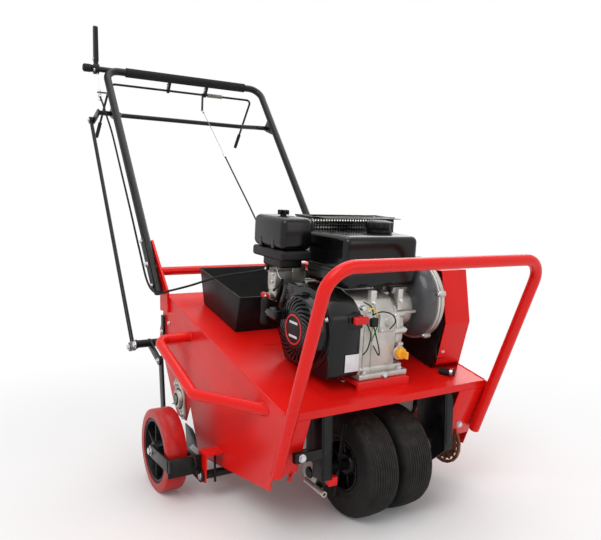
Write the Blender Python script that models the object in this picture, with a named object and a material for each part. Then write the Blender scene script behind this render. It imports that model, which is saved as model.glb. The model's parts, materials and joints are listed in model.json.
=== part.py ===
"""Walk-behind core aerator. Metres, +Z up, front toward -Y, the operator stands at +Y.

The origin lies on the ground under the middle of the machine. The dimensions below count
Y from a line across the front part of the frame, MIDDLE_Y ahead of that origin.
Sides are the operator's: the right-hand side is at -X and the left-hand side, with the
belt and chains, at +X.
"""

import math

import bmesh
import bpy
from mathutils import Matrix, Vector

# Place of the middle of the length, from the line that Y counts from below
MIDDLE_Y = 0.4255

# Clearances between pieces
GAP = 0.0003
RUNNING_GAP = 0.0015

# Frame tubes and sheets
TUBE = 0.0125
SHEET = 0.003
TUBE_SIDES = 10
BORE_STEPS = 12

# Deck: a sloped sheet with a flange turned down at the front
DECK_FRONT = (-0.190, 0.282)
DECK_REAR_Y = 0.485
DECK_SLOPE = 0.2537
DECK_FLANGE = 0.016
ENGINE_OPENING = ((-0.160, -0.165), (0.160, 0.112))
BELT_SLOT = ((0.183, -0.100), (0.2155, 0.182))

# Side panels
PANEL_X = 0.278
PANEL_SHEET = 0.0025
PANEL_FRONT_LOW_Z = 0.107
PANEL_NOTCH = ((0.247, 0.063), (0.306, 0.1785), (0.335, 0.128), (0.398, 0.128))
PANEL_REAR = ((0.440, 0.175), (0.505, 0.275), (0.535, 0.290), (0.535, 0.345), (0.505, 0.400))

# Front bumper hoop
BUMPER_X = 0.279
BUMPER_FOOT = (-0.157, 0.152)
BUMPER_TOP = (-0.339, 0.580)
BUMPER_BEND = 0.055

# Side guard hoops over the rear wheels
GUARD_X = 0.365
GUARD_REAR = (0.302, 0.360)
GUARD_KINK = (0.065, 0.277)
GUARD_FRONT = (-0.141, 0.270)
GUARD_BEND = 0.030

# Handlebar
HANDLE_X = 0.2975
HANDLE_FOOT = (0.485, 0.457)
HANDLE_TOP = (1.008, 1.177)
HANDLE_BEND = 0.045
SLEEVE_WALL = 0.0025
SLEEVE_ENDS = (-0.228, 0.232)
STUB_RADIUS = 0.0095
STUB_END_X = -0.345
END_CAP_RADIUS = 0.0135
END_CAP_LENGTH = 0.028

# Rear cross tube with its handle plates
CROSS_TUBE = (0.5165, 0.516)
HANDLE_PLATE = 0.0064
HANDLE_PLATE_OUTLINE = (
    (0.452, 0.462),
    (0.583, 0.604),
    (0.607, 0.582),
    (0.512, 0.478),
    (0.512, 0.405),
    (0.452, 0.405),
)
HANDLE_PLATE_HOLES = 4
HANDLE_CLAMP = 0.004

# Clutch bail
BAIL_AXIS = (1.035, 1.138)
BAIL_X = 0.275
BAIL_END = (0.285, 1.195, 0.975)
BAIL_RADIUS = 0.004
BAIL_GRIP_RADIUS = 0.0065
BAIL_GRIP_LENGTH = 0.060
BAIL_BEND = 0.020
BAIL_BRACKETS_X = (-0.065, 0.080)
BAIL_BRACKET = 0.008
BAIL_ARM_X = 0.071
BAIL_ARM_END = (1.040, 1.083)
BAIL_EYE = 0.006

# Lift bar, rod and rocker; the rod is the long side of a parallelogram
LIFT_BAR_AXIS = (0.945, 1.020)
ROCKER_AXIS = (0.500, 0.315)
LIFT_ARM = (0.061, -0.018)
LIFT_BAR_RUN = (1.080, 1.040)
LIFT_BAR_X = 0.250
LIFT_BAR_TRUNNION_X = 0.268
LIFT_BAR_RADIUS = 0.008
LIFT_BAR_BEND = 0.020
LIFT_EAR_X = (0.2945, 0.3005)
ROD_X = -0.350
ROD_RADIUS = 0.006
ROD_EYE = 0.0126
ROD_EYE_RADIUS = 0.012
LEVER = 0.005
LEVER_PIN = 0.005
ROCKER_SHAFT = 0.011
ROCKER_CRANK = (-0.080, -0.035)
LINK_X = 0.3125
LINK = 0.006
LINK_WIDTH = 0.025
LINK_BOSS = 0.010

# Swing frame that carries the rear wheels
SWING_AXIS = (0.115, 0.066)
SWING_PIN = (0.400, 0.085)
SWING_SHAFT = 0.010
SWING_ARM = 0.006
SWING_ARM_HEIGHT = 0.030
PIVOT_BRACKET_X = 0.3205
PIVOT_BRACKET = 0.004
PIVOT_BRACKET_TOP = 0.121

# Rear wheels
WHEEL_CENTRE = (0.242, 0.100)
WHEEL_RADIUS = 0.100
WHEEL_X = 0.373
WHEEL_WIDTH = 0.050
TREAD_THICKNESS = 0.022
TREAD_INNER = WHEEL_RADIUS - TREAD_THICKNESS
WHEEL_HUB = 0.022
WHEEL_BOLT = 0.006
WHEEL_SPOKES = 6
TREAD_STEPS = 24
FORK_GAP = 0.0025

# Front axle and its two tyres
AXLE = (-0.106, 0.118)
AXLE_RADIUS = 0.0125
AXLE_ENDS = (-0.190, 0.2405)
TYRE_RADIUS = 0.118
TYRE_WIDTH = 0.084
TYRE_X = 0.048
TYRE_STEPS = 24
RIM_RADIUS = 0.0575
RIM_WALL = 0.004
AXLE_SPROCKET_TIP = 0.047
AXLE_SPROCKET_TEETH = 18

# Front hangers with the axle bearings
HANGER_X = (0.159, 0.185)
HANGER_SHEET = 0.004
HANGER_Y = (-0.178, -0.082)
HANGER_LOW_Z = 0.088
HANGER_WEB_LOW_Z = 0.125
BEARING_FLANGE = 0.027
STAY_TUBE = 0.0055

# Belt and chain drive
SHAFT_RADIUS = 0.0125
JACKSHAFT = (0.050, 0.215)
JACKSHAFT_START_X = 0.1635
JACK_LUG_X = 0.1695
BELT_X = 0.2025
BELT_WIDTH = 0.012
BELT_HEIGHT = 0.008
JACK_PULLEY = 0.075
OUTPUT_PULLEY = 0.035
PULLEY_WIDTH = 0.020
FRONT_CHAIN_X = 0.2275
REEL_CHAIN_X = 0.250
SPROCKET = 0.004
CHAIN_WIDTH = 0.006
CHAIN_HEIGHT = 0.007
JACK_FRONT_SPROCKET_TIP = 0.031
JACK_REEL_SPROCKET_TIP = 0.024
REEL_SPROCKET_TIP = 0.072
JACK_FRONT_TEETH = 12
JACK_REEL_TEETH = 8
REEL_TEETH = 24

# Idler that tightens the belt
IDLER_RADIUS = 0.022
IDLER_REACH = 0.080
IDLER_TRAVEL = math.radians(8)
IDLER_ARM = 0.004
IDLER_TAIL = (0.045, 0.060)
IDLER_LUG_X = 0.216

# Tine reel
REEL = (0.363, 0.183)
REEL_SHAFT_END_X = 0.2985
REEL_WHEELS_X = (-0.180, -0.060, 0.060, 0.180)
REEL_STAGGER = math.radians(15)
TINES = 6
TINE_PLATE = 0.006
TINE_HUB = 0.024
TINE_HUB_LENGTH = 0.030
TINE_ARM_TIP = 0.090
TINE_ROOT = 0.052
TINE_START = 0.070
TINE_TIP = 0.150
TINE_RADIUS = 0.008
TINE_BORE = 0.0055
TINE_LEAN = math.radians(14)
BEARING_LENGTH = (0.113, 0.060)
BEARING_TILT = math.radians(62)
BEARING_PLATE = 0.008
BEARING_BOSS = 0.024
BEARING_DEPTH = 0.0185

# Engine, in its own coordinates about the crankshaft, tilted forward with its mount
CRANK = (-0.064, 0.425)
ENGINE_TILT = math.radians(5)
ENGINE_BASE = -0.106
CASE_X = (-0.065, 0.070)
CASE_FRONT = -0.076
FOOT_Y = 0.088
FOOT_HEIGHT = 0.014
MOUNT_X = (-0.0775, 0.067)
MOUNT_Y = (-0.100, 0.150)
MOUNT_PLATE = 0.006
MOUNT_DROP = 0.030
CYLINDER_TILT = math.radians(15)
CYLINDER_START = (0.030, -0.015)
CYLINDER_LENGTH = 0.180
CYLINDER_HALF = 0.036
FIN_HALF = 0.047
FIN = 0.0035
FINS = 7
SHROUD_X = (-0.150, -0.0655)
SHROUD_OUTLINE = (
    (-0.088, -0.094),
    (-0.088, 0.045),
    (-0.055, 0.072),
    (-0.010, 0.086),
    (0.090, 0.0885),
    (0.143, 0.066),
    (0.143, -0.015),
    (0.092, -0.094),
)
RECOIL_RADIUS = 0.092
RECOIL_DOME = 0.074
RECOIL_FACE = 0.060
RECOIL_DISC = 0.0367
RECOIL_X = (-0.1855, -0.1503)
RECOIL_WALL = 0.0025
RECOIL_SLOTS = 9
ROPE_GUIDE = ((-0.2055, 0.050, 0.010), (-0.165, 0.0945, 0.032))
ROPE_HANDLE = ((-0.2125, 0.0948, -0.011), (-0.1885, 0.1148, 0.053))
TANK = ((-0.089, -0.045, 0.089), (0.121, 0.122, 0.206))
TANK_ROUND = 0.016
FUEL_CAP = (0.072, 0.050)
FUEL_CAP_RADIUS = 0.034
FUEL_CAP_HEIGHT = 0.028
CLEANER = ((-0.190, 0.055, 0.140), (-0.110, 0.200, 0.237))
CLEANER_BASE_HEIGHT = 0.024
CARBURETTOR = ((-0.160, 0.147, 0.030), (-0.100, 0.192, 0.1397))
MUFFLER = ((-0.070, 0.128, 0.122), (0.185, 0.208, 0.236))
REDUCTION = (0.0065, 0.049)
REDUCTION_RADIUS = 0.097
NECK_RADIUS = 0.042
OUTPUT_SHAFT = (0.1503, 0.2165)
SWITCH = (-0.078, 0.033)
DIPSTICK = (0.052, -0.056)
CHOKE = (0.170, 0.108)
FUEL_VALVE = (0.165, 0.042)

# Belt guard
BELT_GUARD_X = (0.183, 0.262)
BELT_GUARD_SHEET = 0.002
BELT_GUARD_HIGH = ((-0.150, 0.420), (-0.134, 0.545), (0.085, 0.545), (0.128, 0.490))
BELT_GUARD_Y = (-0.114, 0.128)

# Rear tray on the deck, its front and rear walls leaning away from its floor
TRAY_X = (-0.200, 0.120)
TRAY_FLOOR_Y = (0.196, 0.395)
TRAY_RIM = ((0.420, 0.527), (0.168, 0.470))
TRAY_WALL = 0.0025

# Throttle lever on the stub of the handlebar
THROTTLE_AXIS = (1.008, 1.177)
THROTTLE_X = (-0.338, -0.321)
THROTTLE_TOP_Z = 1.320
THROTTLE_HUB = 0.018

# Control cables, by points along their routes
THROTTLE_CABLE = 0.003
THROTTLE_ROUTE = (
    (-0.3300, 0.9620, 1.0880),
    (-0.3300, 0.9610, 1.0780),
    (-0.3290, 0.9300, 1.0480),
    (-0.3230, 0.9020, 1.0000),
    (-0.3180, 0.8600, 0.9400),
    (-0.3180, 0.7720, 0.8230),
    (-0.3180, 0.6730, 0.6900),
    (-0.3180, 0.5900, 0.5740),
    (-0.3180, 0.5200, 0.4860),
    (-0.3120, 0.4600, 0.4600),
    (-0.2900, 0.4270, 0.4680),
    (-0.2500, 0.3700, 0.4860),
    (-0.2000, 0.2850, 0.5150),
    (-0.1500, 0.2100, 0.5300),
)
CABLE_STOP = (0.008, 0.003)
CLUTCH_CABLE = 0.0025
CLUTCH_ROUTE = (
    (0.0366, 0.6000, 0.7290),
    (0.0250, 0.4300, 0.5950),
    (0.0450, 0.3200, 0.5450),
    (0.1000, 0.2600, 0.5300),
    (0.1650, 0.2050, 0.5150),
    (0.2000, 0.1600, 0.4800),
)

FINISHES = {
    "red_paint": ((0.62, 0.012, 0.010), 0.25, 0.0),
    "black_paint": ((0.015, 0.015, 0.016), 0.40, 0.0),
    "black_plastic": ((0.022, 0.022, 0.024), 0.50, 0.0),
    "cast_aluminium": ((0.48, 0.47, 0.44), 0.45, 0.9),
    "bare_steel": ((0.42, 0.41, 0.40), 0.35, 1.0),
    "worn_steel": ((0.22, 0.13, 0.09), 0.60, 0.8),
    "rubber": ((0.030, 0.028, 0.026), 0.75, 0.0),
    "red_urethane": ((0.30, 0.015, 0.012), 0.45, 0.0),
    "red_plastic": ((0.55, 0.015, 0.010), 0.35, 0.0),
    "orange_plastic": ((0.85, 0.32, 0.02), 0.40, 0.0),
}

PLACES = {
    "X": lambda along, a, b: Vector((along, a, b)),
    "Y": lambda along, a, b: Vector((a, along, b)),
    "Z": lambda along, a, b: Vector((a, b, along)),
}


def shape(bm):
    """A plain object from a bmesh, with its faces turned outward."""
    bmesh.ops.recalc_face_normals(bm, faces=bm.faces)
    mesh = bpy.data.meshes.new("shape")
    bm.to_mesh(mesh)
    bm.free()
    obj = bpy.data.objects.new("shape", mesh)
    bpy.context.scene.collection.objects.link(obj)
    return obj


def block(low, high, rounding=0.0):
    """A box between two corners, its edges rounded if asked."""
    low = Vector(low)
    high = Vector(high)
    bm = bmesh.new()
    matrix = Matrix.Translation((low + high) / 2) @ Matrix.Diagonal((*(high - low), 1))
    bmesh.ops.create_cube(bm, size=1, matrix=matrix)
    if rounding:
        bmesh.ops.bevel(
            bm, geom=bm.edges[:], offset=rounding, segments=2, profile=0.5, affect="EDGES"
        )
    return shape(bm)


def prism(axis, outline, low, high):
    """An outline in the plane across the axis, drawn out from low to high along it."""
    place = PLACES[axis]
    bm = bmesh.new()
    face = bm.faces.new([bm.verts.new(place(low, *point)) for point in outline])
    grown = bmesh.ops.extrude_face_region(bm, geom=[face])
    moved = [item for item in grown["geom"] if isinstance(item, bmesh.types.BMVert)]
    bmesh.ops.translate(bm, verts=moved, vec=place(high - low, 0, 0))
    return shape(bm)


def turned(axis, profile, centre=(0.0, 0.0), steps=24):
    """A closed profile of (distance along the axis, radius), turned about the axis."""
    place = PLACES[axis]
    bm = bmesh.new()
    rings = []
    for along, radius in profile:
        if radius == 0:
            rings.append([bm.verts.new(place(along, *centre))])
            continue
        angles = [2 * math.pi * step / steps for step in range(steps)]
        rings.append(
            [
                bm.verts.new(
                    place(along, centre[0] + radius * math.cos(a), centre[1] + radius * math.sin(a))
                )
                for a in angles
            ]
        )
    for first, second in zip(rings, rings[1:] + rings[:1]):
        if len(first) == 1 and len(second) == 1:
            continue
        for step in range(steps):
            corners = [
                first[step % len(first)],
                first[(step + 1) % len(first)],
                second[(step + 1) % len(second)],
                second[step % len(second)],
            ]
            bm.faces.new(list(dict.fromkeys(corners)))
    return shape(bm)


def rod(axis, low, high, radius, centre, steps=TUBE_SIDES):
    """A round bar along an axis."""
    return turned(axis, [(low, 0), (low, radius), (high, radius), (high, 0)], centre, steps)


def bore_for(radius):
    """Radius of a faceted bore whose flats clear a round piece."""
    return (radius + GAP) / math.cos(math.pi / BORE_STEPS)


def rounded(points, radius, steps=4):
    """A route with each inner corner replaced by an arc."""
    points = [Vector(point) for point in points]
    route = [points[0]]
    for before, corner, after in zip(points, points[1:], points[2:]):
        back = (before - corner).normalized()
        onward = (after - corner).normalized()
        half = back.angle(onward) / 2
        centre = corner + (back + onward).normalized() * radius / math.sin(half)
        start = corner + back * radius / math.tan(half) - centre
        end = corner + onward * radius / math.tan(half) - centre
        turn = math.pi - 2 * half
        for step in range(steps + 1):
            share = step / steps
            first = start * math.sin((1 - share) * turn)
            second = end * math.sin(share * turn)
            route.append(centre + (first + second) / math.sin(turn))
    return route + [points[-1]]


def smooth_route(points, spacing):
    """Points read from a smooth curve through a cable's own points."""
    points = [Vector(point) for point in points]
    padded = [2 * points[0] - points[1], *points, 2 * points[-1] - points[-2]]
    route = []
    for p0, p1, p2, p3 in zip(padded, padded[1:], padded[2:], padded[3:]):
        steps = max(1, round((p2 - p1).length / spacing))
        for step in range(steps):
            t = step / steps
            route.append(
                0.5
                * (
                    2 * p1
                    + (p2 - p0) * t
                    + (2 * p0 - 5 * p1 + 4 * p2 - p3) * t**2
                    + (3 * p1 - p0 - 3 * p2 + p3) * t**3
                )
            )
    return route + [points[-1]]


def pipe(points, radius, sides=TUBE_SIDES):
    """A solid tube along a route, made from a curve with a round bevel and filled caps."""
    curve = bpy.data.curves.new("route", "CURVE")
    curve.dimensions = "3D"
    spline = curve.splines.new("POLY")
    spline.points.add(len(points) - 1)
    for knot, point in zip(spline.points, points):
        knot.co = (*point, 1)
    curve.bevel_depth = radius
    curve.bevel_resolution = (sides - 4) // 2
    curve.use_fill_caps = True
    guide = bpy.data.objects.new("route", curve)
    mesh = bpy.data.meshes.new_from_object(guide)
    bm = bmesh.new()
    bm.from_mesh(mesh)
    bmesh.ops.remove_doubles(bm, verts=bm.verts, dist=1e-6)
    bpy.data.objects.remove(guide)
    bpy.data.curves.remove(curve)
    bpy.data.meshes.remove(mesh)
    return shape(bm)


def combined(base, tools, operation):
    """The base with each tool joined to it or cut from it."""
    for tool in tools:
        step = base.modifiers.new("combine", "BOOLEAN")
        step.operation = operation
        step.object = tool
    bpy.context.view_layer.update()
    graph = bpy.context.evaluated_depsgraph_get()
    baked = bpy.data.meshes.new_from_object(base.evaluated_get(graph))
    base.modifiers.clear()
    base.data = baked
    for tool in tools:
        bpy.data.objects.remove(tool)
    return base


def fused(base, *tools):
    return combined(base, tools, "UNION")


def cut(base, *tools):
    return combined(base, tools, "DIFFERENCE")


def finished(obj, name, finish, pivot=(0.0, 0.0, 0.0), parent=None):
    """Names and colours a piece, and puts its origin on its pivot."""
    obj.name = name
    obj.data.name = name
    obj.data.materials.clear()
    obj.data.materials.append(bpy.data.materials[finish])
    obj.data.transform(Matrix.Translation(-Vector(pivot)))
    obj.location = pivot
    obj.parent = parent
    obj.data.shade_smooth()
    obj.data.set_sharp_from_angle(angle=math.radians(32))
    return obj


def moved(obj, offset):
    obj.data.transform(Matrix.Translation(offset))
    return obj


def turned_by(obj, angle, axis, centre):
    """The shape turned about an axis through a centre."""
    centre = Matrix.Translation(centre)
    obj.data.transform(centre @ Matrix.Rotation(angle, 4, axis) @ centre.inverted())
    return obj


def between(first, second):
    """Two limits along X, whichever side of the machine they lie on, low one first."""
    return min(first, second), max(first, second)


def plate(outline, first, second):
    """A plate across X between two places on either side of the machine."""
    return prism("X", outline, *between(first, second))


def bar(first, second, radius, centre, steps=TUBE_SIDES):
    """A round bar along X between two places on either side of the machine."""
    return rod("X", *between(first, second), radius, centre, steps)


def strap(start, end, half):
    """The outline of a flat bar with round ends, from one centre to the other."""
    heading = math.atan2(end[1] - start[1], end[0] - start[0])
    outline = []
    for centre, first in ((end, -90), (start, 90)):
        for step in range(4):
            angle = heading + math.radians(first + 60 * step)
            outline.append((centre[0] + half * math.cos(angle), centre[1] + half * math.sin(angle)))
    return outline


def inset(outline, distance):
    """An outline moved inward by a distance, its corners mitred."""
    area = sum(a[0] * b[1] - b[0] * a[1] for a, b in zip(outline, (*outline[1:], outline[0])))
    side = math.copysign(1, area)
    inner = []
    for index, corner in enumerate(outline):
        corner = Vector(corner)
        before = (corner - Vector(outline[index - 1])).normalized()
        after = (Vector(outline[(index + 1) % len(outline)]) - corner).normalized()
        normal_before = Vector((-before.y, before.x)) * side
        normal_after = Vector((-after.y, after.x)) * side
        share = distance / (1 + normal_before.dot(normal_after))
        inner.append(tuple(corner + (normal_before + normal_after) * share))
    return inner


def deck_z(y):
    """Height of the deck's upper face."""
    return DECK_FRONT[1] + DECK_SLOPE * (y - DECK_FRONT[0])


def under_deck_z(y):
    """Height of what fits against the deck's lower face."""
    return deck_z(y) - SHEET * math.hypot(1, DECK_SLOPE) - GAP


def handle_y(z):
    """Place of a handle tube's axis at a height."""
    share = (z - HANDLE_FOOT[1]) / (HANDLE_TOP[1] - HANDLE_FOOT[1])
    return HANDLE_FOOT[0] + share * (HANDLE_TOP[0] - HANDLE_FOOT[0])


def panel_front_y(z):
    """Front edge of a side panel, just behind the bumper's leg."""
    leg = Vector((BUMPER_TOP[0] - BUMPER_FOOT[0], BUMPER_TOP[1] - BUMPER_FOOT[1])).normalized()
    on_axis = BUMPER_FOOT[0] + (z - BUMPER_FOOT[1]) * leg.x / leg.y
    return on_axis + (TUBE + GAP) / leg.y


def tangent_normal(first, first_radius, second, second_radius, side):
    """Unit normal, toward one side, of the line that touches two circles there."""
    apart = Vector(second) - Vector(first)
    along = apart.normalized()
    across = Vector((-along.y, along.x)) * side
    lean = (first_radius - second_radius) / apart.length
    return along * lean + across * math.sqrt(1 - lean**2)


def around(first, first_radius, second, second_radius, steps=10):
    """A closed outline drawn tight round two circles."""
    upper = tangent_normal(first, first_radius, second, second_radius, 1)
    lower = tangent_normal(first, first_radius, second, second_radius, -1)
    start = math.atan2(upper.y, upper.x)
    turn = (math.atan2(lower.y, lower.x) - start) % (2 * math.pi)
    outline = []
    for centre, radius, begin, sweep in (
        (first, first_radius, start, turn),
        (second, second_radius, start + turn, 2 * math.pi - turn),
    ):
        for step in range(steps + 1):
            angle = begin + sweep * step / steps
            outline.append((centre[0] + radius * math.cos(angle), centre[1] + radius * math.sin(angle)))
    return outline


def loop_round(first, first_radius, second, second_radius, height, centre_x, width):
    """A belt or chain round two wheels."""
    reach = RUNNING_GAP
    outer = around(first, first_radius + reach + height, second, second_radius + reach + height)
    inner = around(first, first_radius + reach, second, second_radius + reach)
    band = prism("X", outer, centre_x - width / 2, centre_x + width / 2)
    return cut(band, prism("X", inner, centre_x - width, centre_x + width))


def sprocket(centre, centre_x, tip, teeth):
    """A toothed wheel, with a narrow tip and a wide root on each tooth."""
    depth = 1.7 * tip / teeth
    outline = []
    for tooth in range(teeth):
        for share, radius in ((0.00, tip), (0.18, tip), (0.42, tip - depth), (0.76, tip - depth)):
            angle = 2 * math.pi * (tooth + share) / teeth
            outline.append((centre[0] + radius * math.cos(angle), centre[1] + radius * math.sin(angle)))
    return prism("X", outline, centre_x - SPROCKET / 2, centre_x + SPROCKET / 2)


def pulley_on_shaft(start, end, centre_x, radius):
    """Profile of a shaft from start to end with a grooved pulley on it."""
    half = PULLEY_WIDTH / 2
    groove = BELT_WIDTH / 2 + RUNNING_GAP / 2
    return [
        (start, 0),
        (start, SHAFT_RADIUS),
        (centre_x - half, SHAFT_RADIUS),
        (centre_x - half, radius + BELT_HEIGHT),
        (centre_x - groove, radius + BELT_HEIGHT),
        (centre_x - groove, radius),
        (centre_x + groove, radius),
        (centre_x + groove, radius + BELT_HEIGHT),
        (centre_x + half, radius + BELT_HEIGHT),
        (centre_x + half, SHAFT_RADIUS),
        (end, SHAFT_RADIUS),
        (end, 0),
    ]


def make_finishes():
    for name, (colour, roughness, metallic) in FINISHES.items():
        finish = bpy.data.materials.new(name)
        finish.use_nodes = True
        principled = finish.node_tree.nodes["Principled BSDF"]
        principled.inputs["Base Color"].default_value = (*colour, 1)
        principled.inputs["Roughness"].default_value = roughness
        principled.inputs["Metallic"].default_value = metallic


def make_deck():
    front, rear = DECK_FRONT[0], DECK_REAR_Y
    lower = SHEET * math.hypot(1, DECK_SLOPE)
    outline = (
        (front, deck_z(front)),
        (rear, deck_z(rear)),
        (rear, deck_z(rear) - lower),
        (front + SHEET, deck_z(front + SHEET) - lower),
        (front + SHEET, deck_z(front) - DECK_FLANGE),
        (front, deck_z(front) - DECK_FLANGE),
    )
    half = PANEL_X - PANEL_SHEET - GAP
    deck = prism("X", outline, -half, half)
    openings = []
    for low, high in (ENGINE_OPENING, BELT_SLOT):
        openings.append(block((*low, deck_z(front) - 2 * SHEET), (*high, deck_z(rear))))
    cut(deck, *openings)
    jack_lug = prism("X", jack_lug_outline(), JACK_LUG_X, JACK_LUG_X + SWING_ARM)
    idler_lug = prism("X", idler_lug_outline(), IDLER_LUG_X, IDLER_LUG_X + IDLER_ARM)
    anchor_y, anchor_z = cable_anchor()
    upright = block(
        (IDLER_LUG_X, anchor_y - 0.012, deck_z(anchor_y) - SHEET),
        (IDLER_LUG_X + IDLER_ARM, anchor_y + 0.012, anchor_z - GAP),
    )
    tab = block(
        (CLUTCH_ROUTE[-1][0] - 0.008, anchor_y - 0.012, anchor_z - GAP - SHEET),
        (IDLER_LUG_X + IDLER_ARM / 2, anchor_y + 0.012, anchor_z - GAP),
    )
    pin = rod("X", idler_arm_x() - 0.002, IDLER_LUG_X + 0.002, LEVER_PIN, idler_pivot())
    fused(deck, jack_lug, idler_lug, upright, tab, pin)
    bore = bore_for(SHAFT_RADIUS)
    cut(deck, rod("X", JACK_LUG_X - 0.01, JACK_LUG_X + 0.02, bore, JACKSHAFT, BORE_STEPS))
    finished(deck, "deck", "red_paint")


def jack_lug_outline():
    """A lug below the deck that carries the inner end of the jackshaft."""
    y, z = JACKSHAFT
    half = 0.030
    drop = 0.024
    return (
        (y - half, under_deck_z(y - half) + SHEET),
        (y - half, z),
        (y - 0.016, z - drop),
        (y + 0.016, z - drop),
        (y + half, z),
        (y + half, under_deck_z(y + half) + SHEET),
    )


def idler_lug_outline():
    """A lug below the deck, beside the belt slot, that carries the idler's pivot."""
    y, z = idler_pivot()
    half = 0.014
    return (
        (y - half, under_deck_z(y - half) + SHEET),
        (y - half, z - half),
        (y + half, z - half),
        (y + half, under_deck_z(y + half) + SHEET),
    )


def from_engine(y, z):
    """A place on the tilted engine, in the machine's coordinates."""
    cosine, sine = math.cos(ENGINE_TILT), math.sin(ENGINE_TILT)
    return CRANK[0] + y * cosine - z * sine, CRANK[1] + y * sine + z * cosine


def output_axis():
    """The output shaft of the tilted engine."""
    return from_engine(*REDUCTION)


def idler_engaged():
    """Where the idler's wheel presses on the rear run of the belt."""
    first, second = Vector(output_axis()), Vector(JACKSHAFT)
    normal = tangent_normal(first, OUTPUT_PULLEY, second, JACK_PULLEY, 1)
    middle = (first + normal * OUTPUT_PULLEY + second + normal * JACK_PULLEY) / 2
    return middle + normal * (BELT_HEIGHT + 2 * RUNNING_GAP + IDLER_RADIUS)


def idler_pivot():
    """Pivot of the idler's arm, so that the arm lies along the belt."""
    first, second = Vector(output_axis()), Vector(JACKSHAFT)
    normal = tangent_normal(first, OUTPUT_PULLEY, second, JACK_PULLEY, 1)
    along = Vector((normal.y, -normal.x))
    return tuple(idler_engaged() + along * IDLER_REACH)


def idler_rest(offset):
    """A place on the idler's arm, given from its pivot when engaged, with the arm at rest."""
    turn = Matrix.Rotation(-IDLER_TRAVEL, 2)
    return Vector(idler_pivot()) + turn @ Vector(offset)


def idler_arm_x():
    return BELT_X + PULLEY_WIDTH / 2 - 0.002


def cable_anchor():
    """Where the clutch cable's casing ends, above the tail of the idler's arm."""
    tail = Vector(idler_pivot()) + Vector(IDLER_TAIL)
    return tail.x, tail.y + 0.036


def make_panels():
    foot = PANEL_FRONT_LOW_Z
    top_y = DECK_FRONT[0]
    for _ in range(4):
        top_y = panel_front_y(deck_z(top_y))
    outline = (
        (panel_front_y(foot), foot),
        *PANEL_NOTCH,
        *PANEL_REAR,
        (DECK_REAR_Y, deck_z(DECK_REAR_Y)),
        (top_y, deck_z(top_y)),
    )
    for side, name in ((-1, "side_panel_right"), (1, "side_panel_left")):
        outer = side * PANEL_X
        inner = side * (PANEL_X - PANEL_SHEET)
        panel = plate(outline, inner, outer)
        lug_top = PIVOT_BRACKET_TOP
        lug = (
            (SWING_AXIS[0] - 0.014, SWING_AXIS[1] - 0.014),
            (SWING_AXIS[0] + 0.014, SWING_AXIS[1] - 0.014),
            (SWING_AXIS[0] + 0.022, lug_top),
            (SWING_AXIS[0] - 0.022, lug_top),
        )
        bracket_top = (
            (SWING_AXIS[0] - 0.022, lug_top - PIVOT_BRACKET),
            (SWING_AXIS[0] + 0.022, lug_top - PIVOT_BRACKET),
            (SWING_AXIS[0] + 0.022, lug_top),
            (SWING_AXIS[0] - 0.022, lug_top),
        )
        fused(
            panel,
            plate(lug, side * PIVOT_BRACKET_X, side * (PIVOT_BRACKET_X + PIVOT_BRACKET)),
            plate(bracket_top, inner, side * (PIVOT_BRACKET_X + PIVOT_BRACKET)),
        )
        cut(
            panel,
            bar(0.25 * side, 0.35 * side, bore_for(SWING_SHAFT), SWING_AXIS, BORE_STEPS),
            bar(0.25 * side, 0.35 * side, bore_for(ROCKER_SHAFT), ROCKER_AXIS, BORE_STEPS),
            bar(0.25 * side, 0.35 * side, SHAFT_RADIUS + SHEET, REEL, BORE_STEPS),
        )
        if side > 0:
            cut(panel, bar(0.25, 0.35, bore_for(SHAFT_RADIUS), JACKSHAFT, BORE_STEPS))
        finished(panel, name, "red_paint")


def make_bumper():
    corners = (
        (-BUMPER_X, *BUMPER_FOOT),
        (-BUMPER_X, *BUMPER_TOP),
        (BUMPER_X, *BUMPER_TOP),
        (BUMPER_X, *BUMPER_FOOT),
    )
    finished(pipe(rounded(corners, BUMPER_BEND), TUBE), "bumper", "red_paint")


def make_side_guards():
    for side, name in ((-1, "side_guard_right"), (1, "side_guard_left")):
        seat = PANEL_X + GAP
        inside = PANEL_X - 2 * TUBE
        corners = (
            (side * inside, *GUARD_REAR),
            (side * GUARD_X, *GUARD_REAR),
            (side * GUARD_X, *GUARD_KINK),
            (side * inside, *GUARD_FRONT),
        )
        guard = pipe(rounded(corners, GUARD_BEND), TUBE)
        low, high = between(0, side * seat)
        cut(guard, block((low, -1, 0), (high, 1, 1)))
        finished(guard, name, "red_paint")


def make_rear_cross_tube():
    seat = PANEL_X + GAP
    tube = rod("X", -seat - HANDLE_PLATE / 2, seat + HANDLE_PLATE / 2, TUBE, CROSS_TUBE)
    plates = []
    holes = []
    low, high = Vector(HANDLE_PLATE_OUTLINE[3]), Vector(HANDLE_PLATE_OUTLINE[2])
    across = Vector(HANDLE_PLATE_OUTLINE[1]) - high
    for side in (-1, 1):
        plates.append(plate(HANDLE_PLATE_OUTLINE, side * seat, side * (seat + HANDLE_PLATE)))
        for hole in range(HANDLE_PLATE_HOLES):
            share = (hole + 0.5) / HANDLE_PLATE_HOLES
            centre = low.lerp(high, share) + across * 0.72
            holes.append(bar(side * 0.25, side * 0.32, 0.0042, centre, 6))
    fused(tube, *plates)
    cut(tube, *holes)
    finished(tube, "rear_cross_tube", "red_paint")


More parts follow.
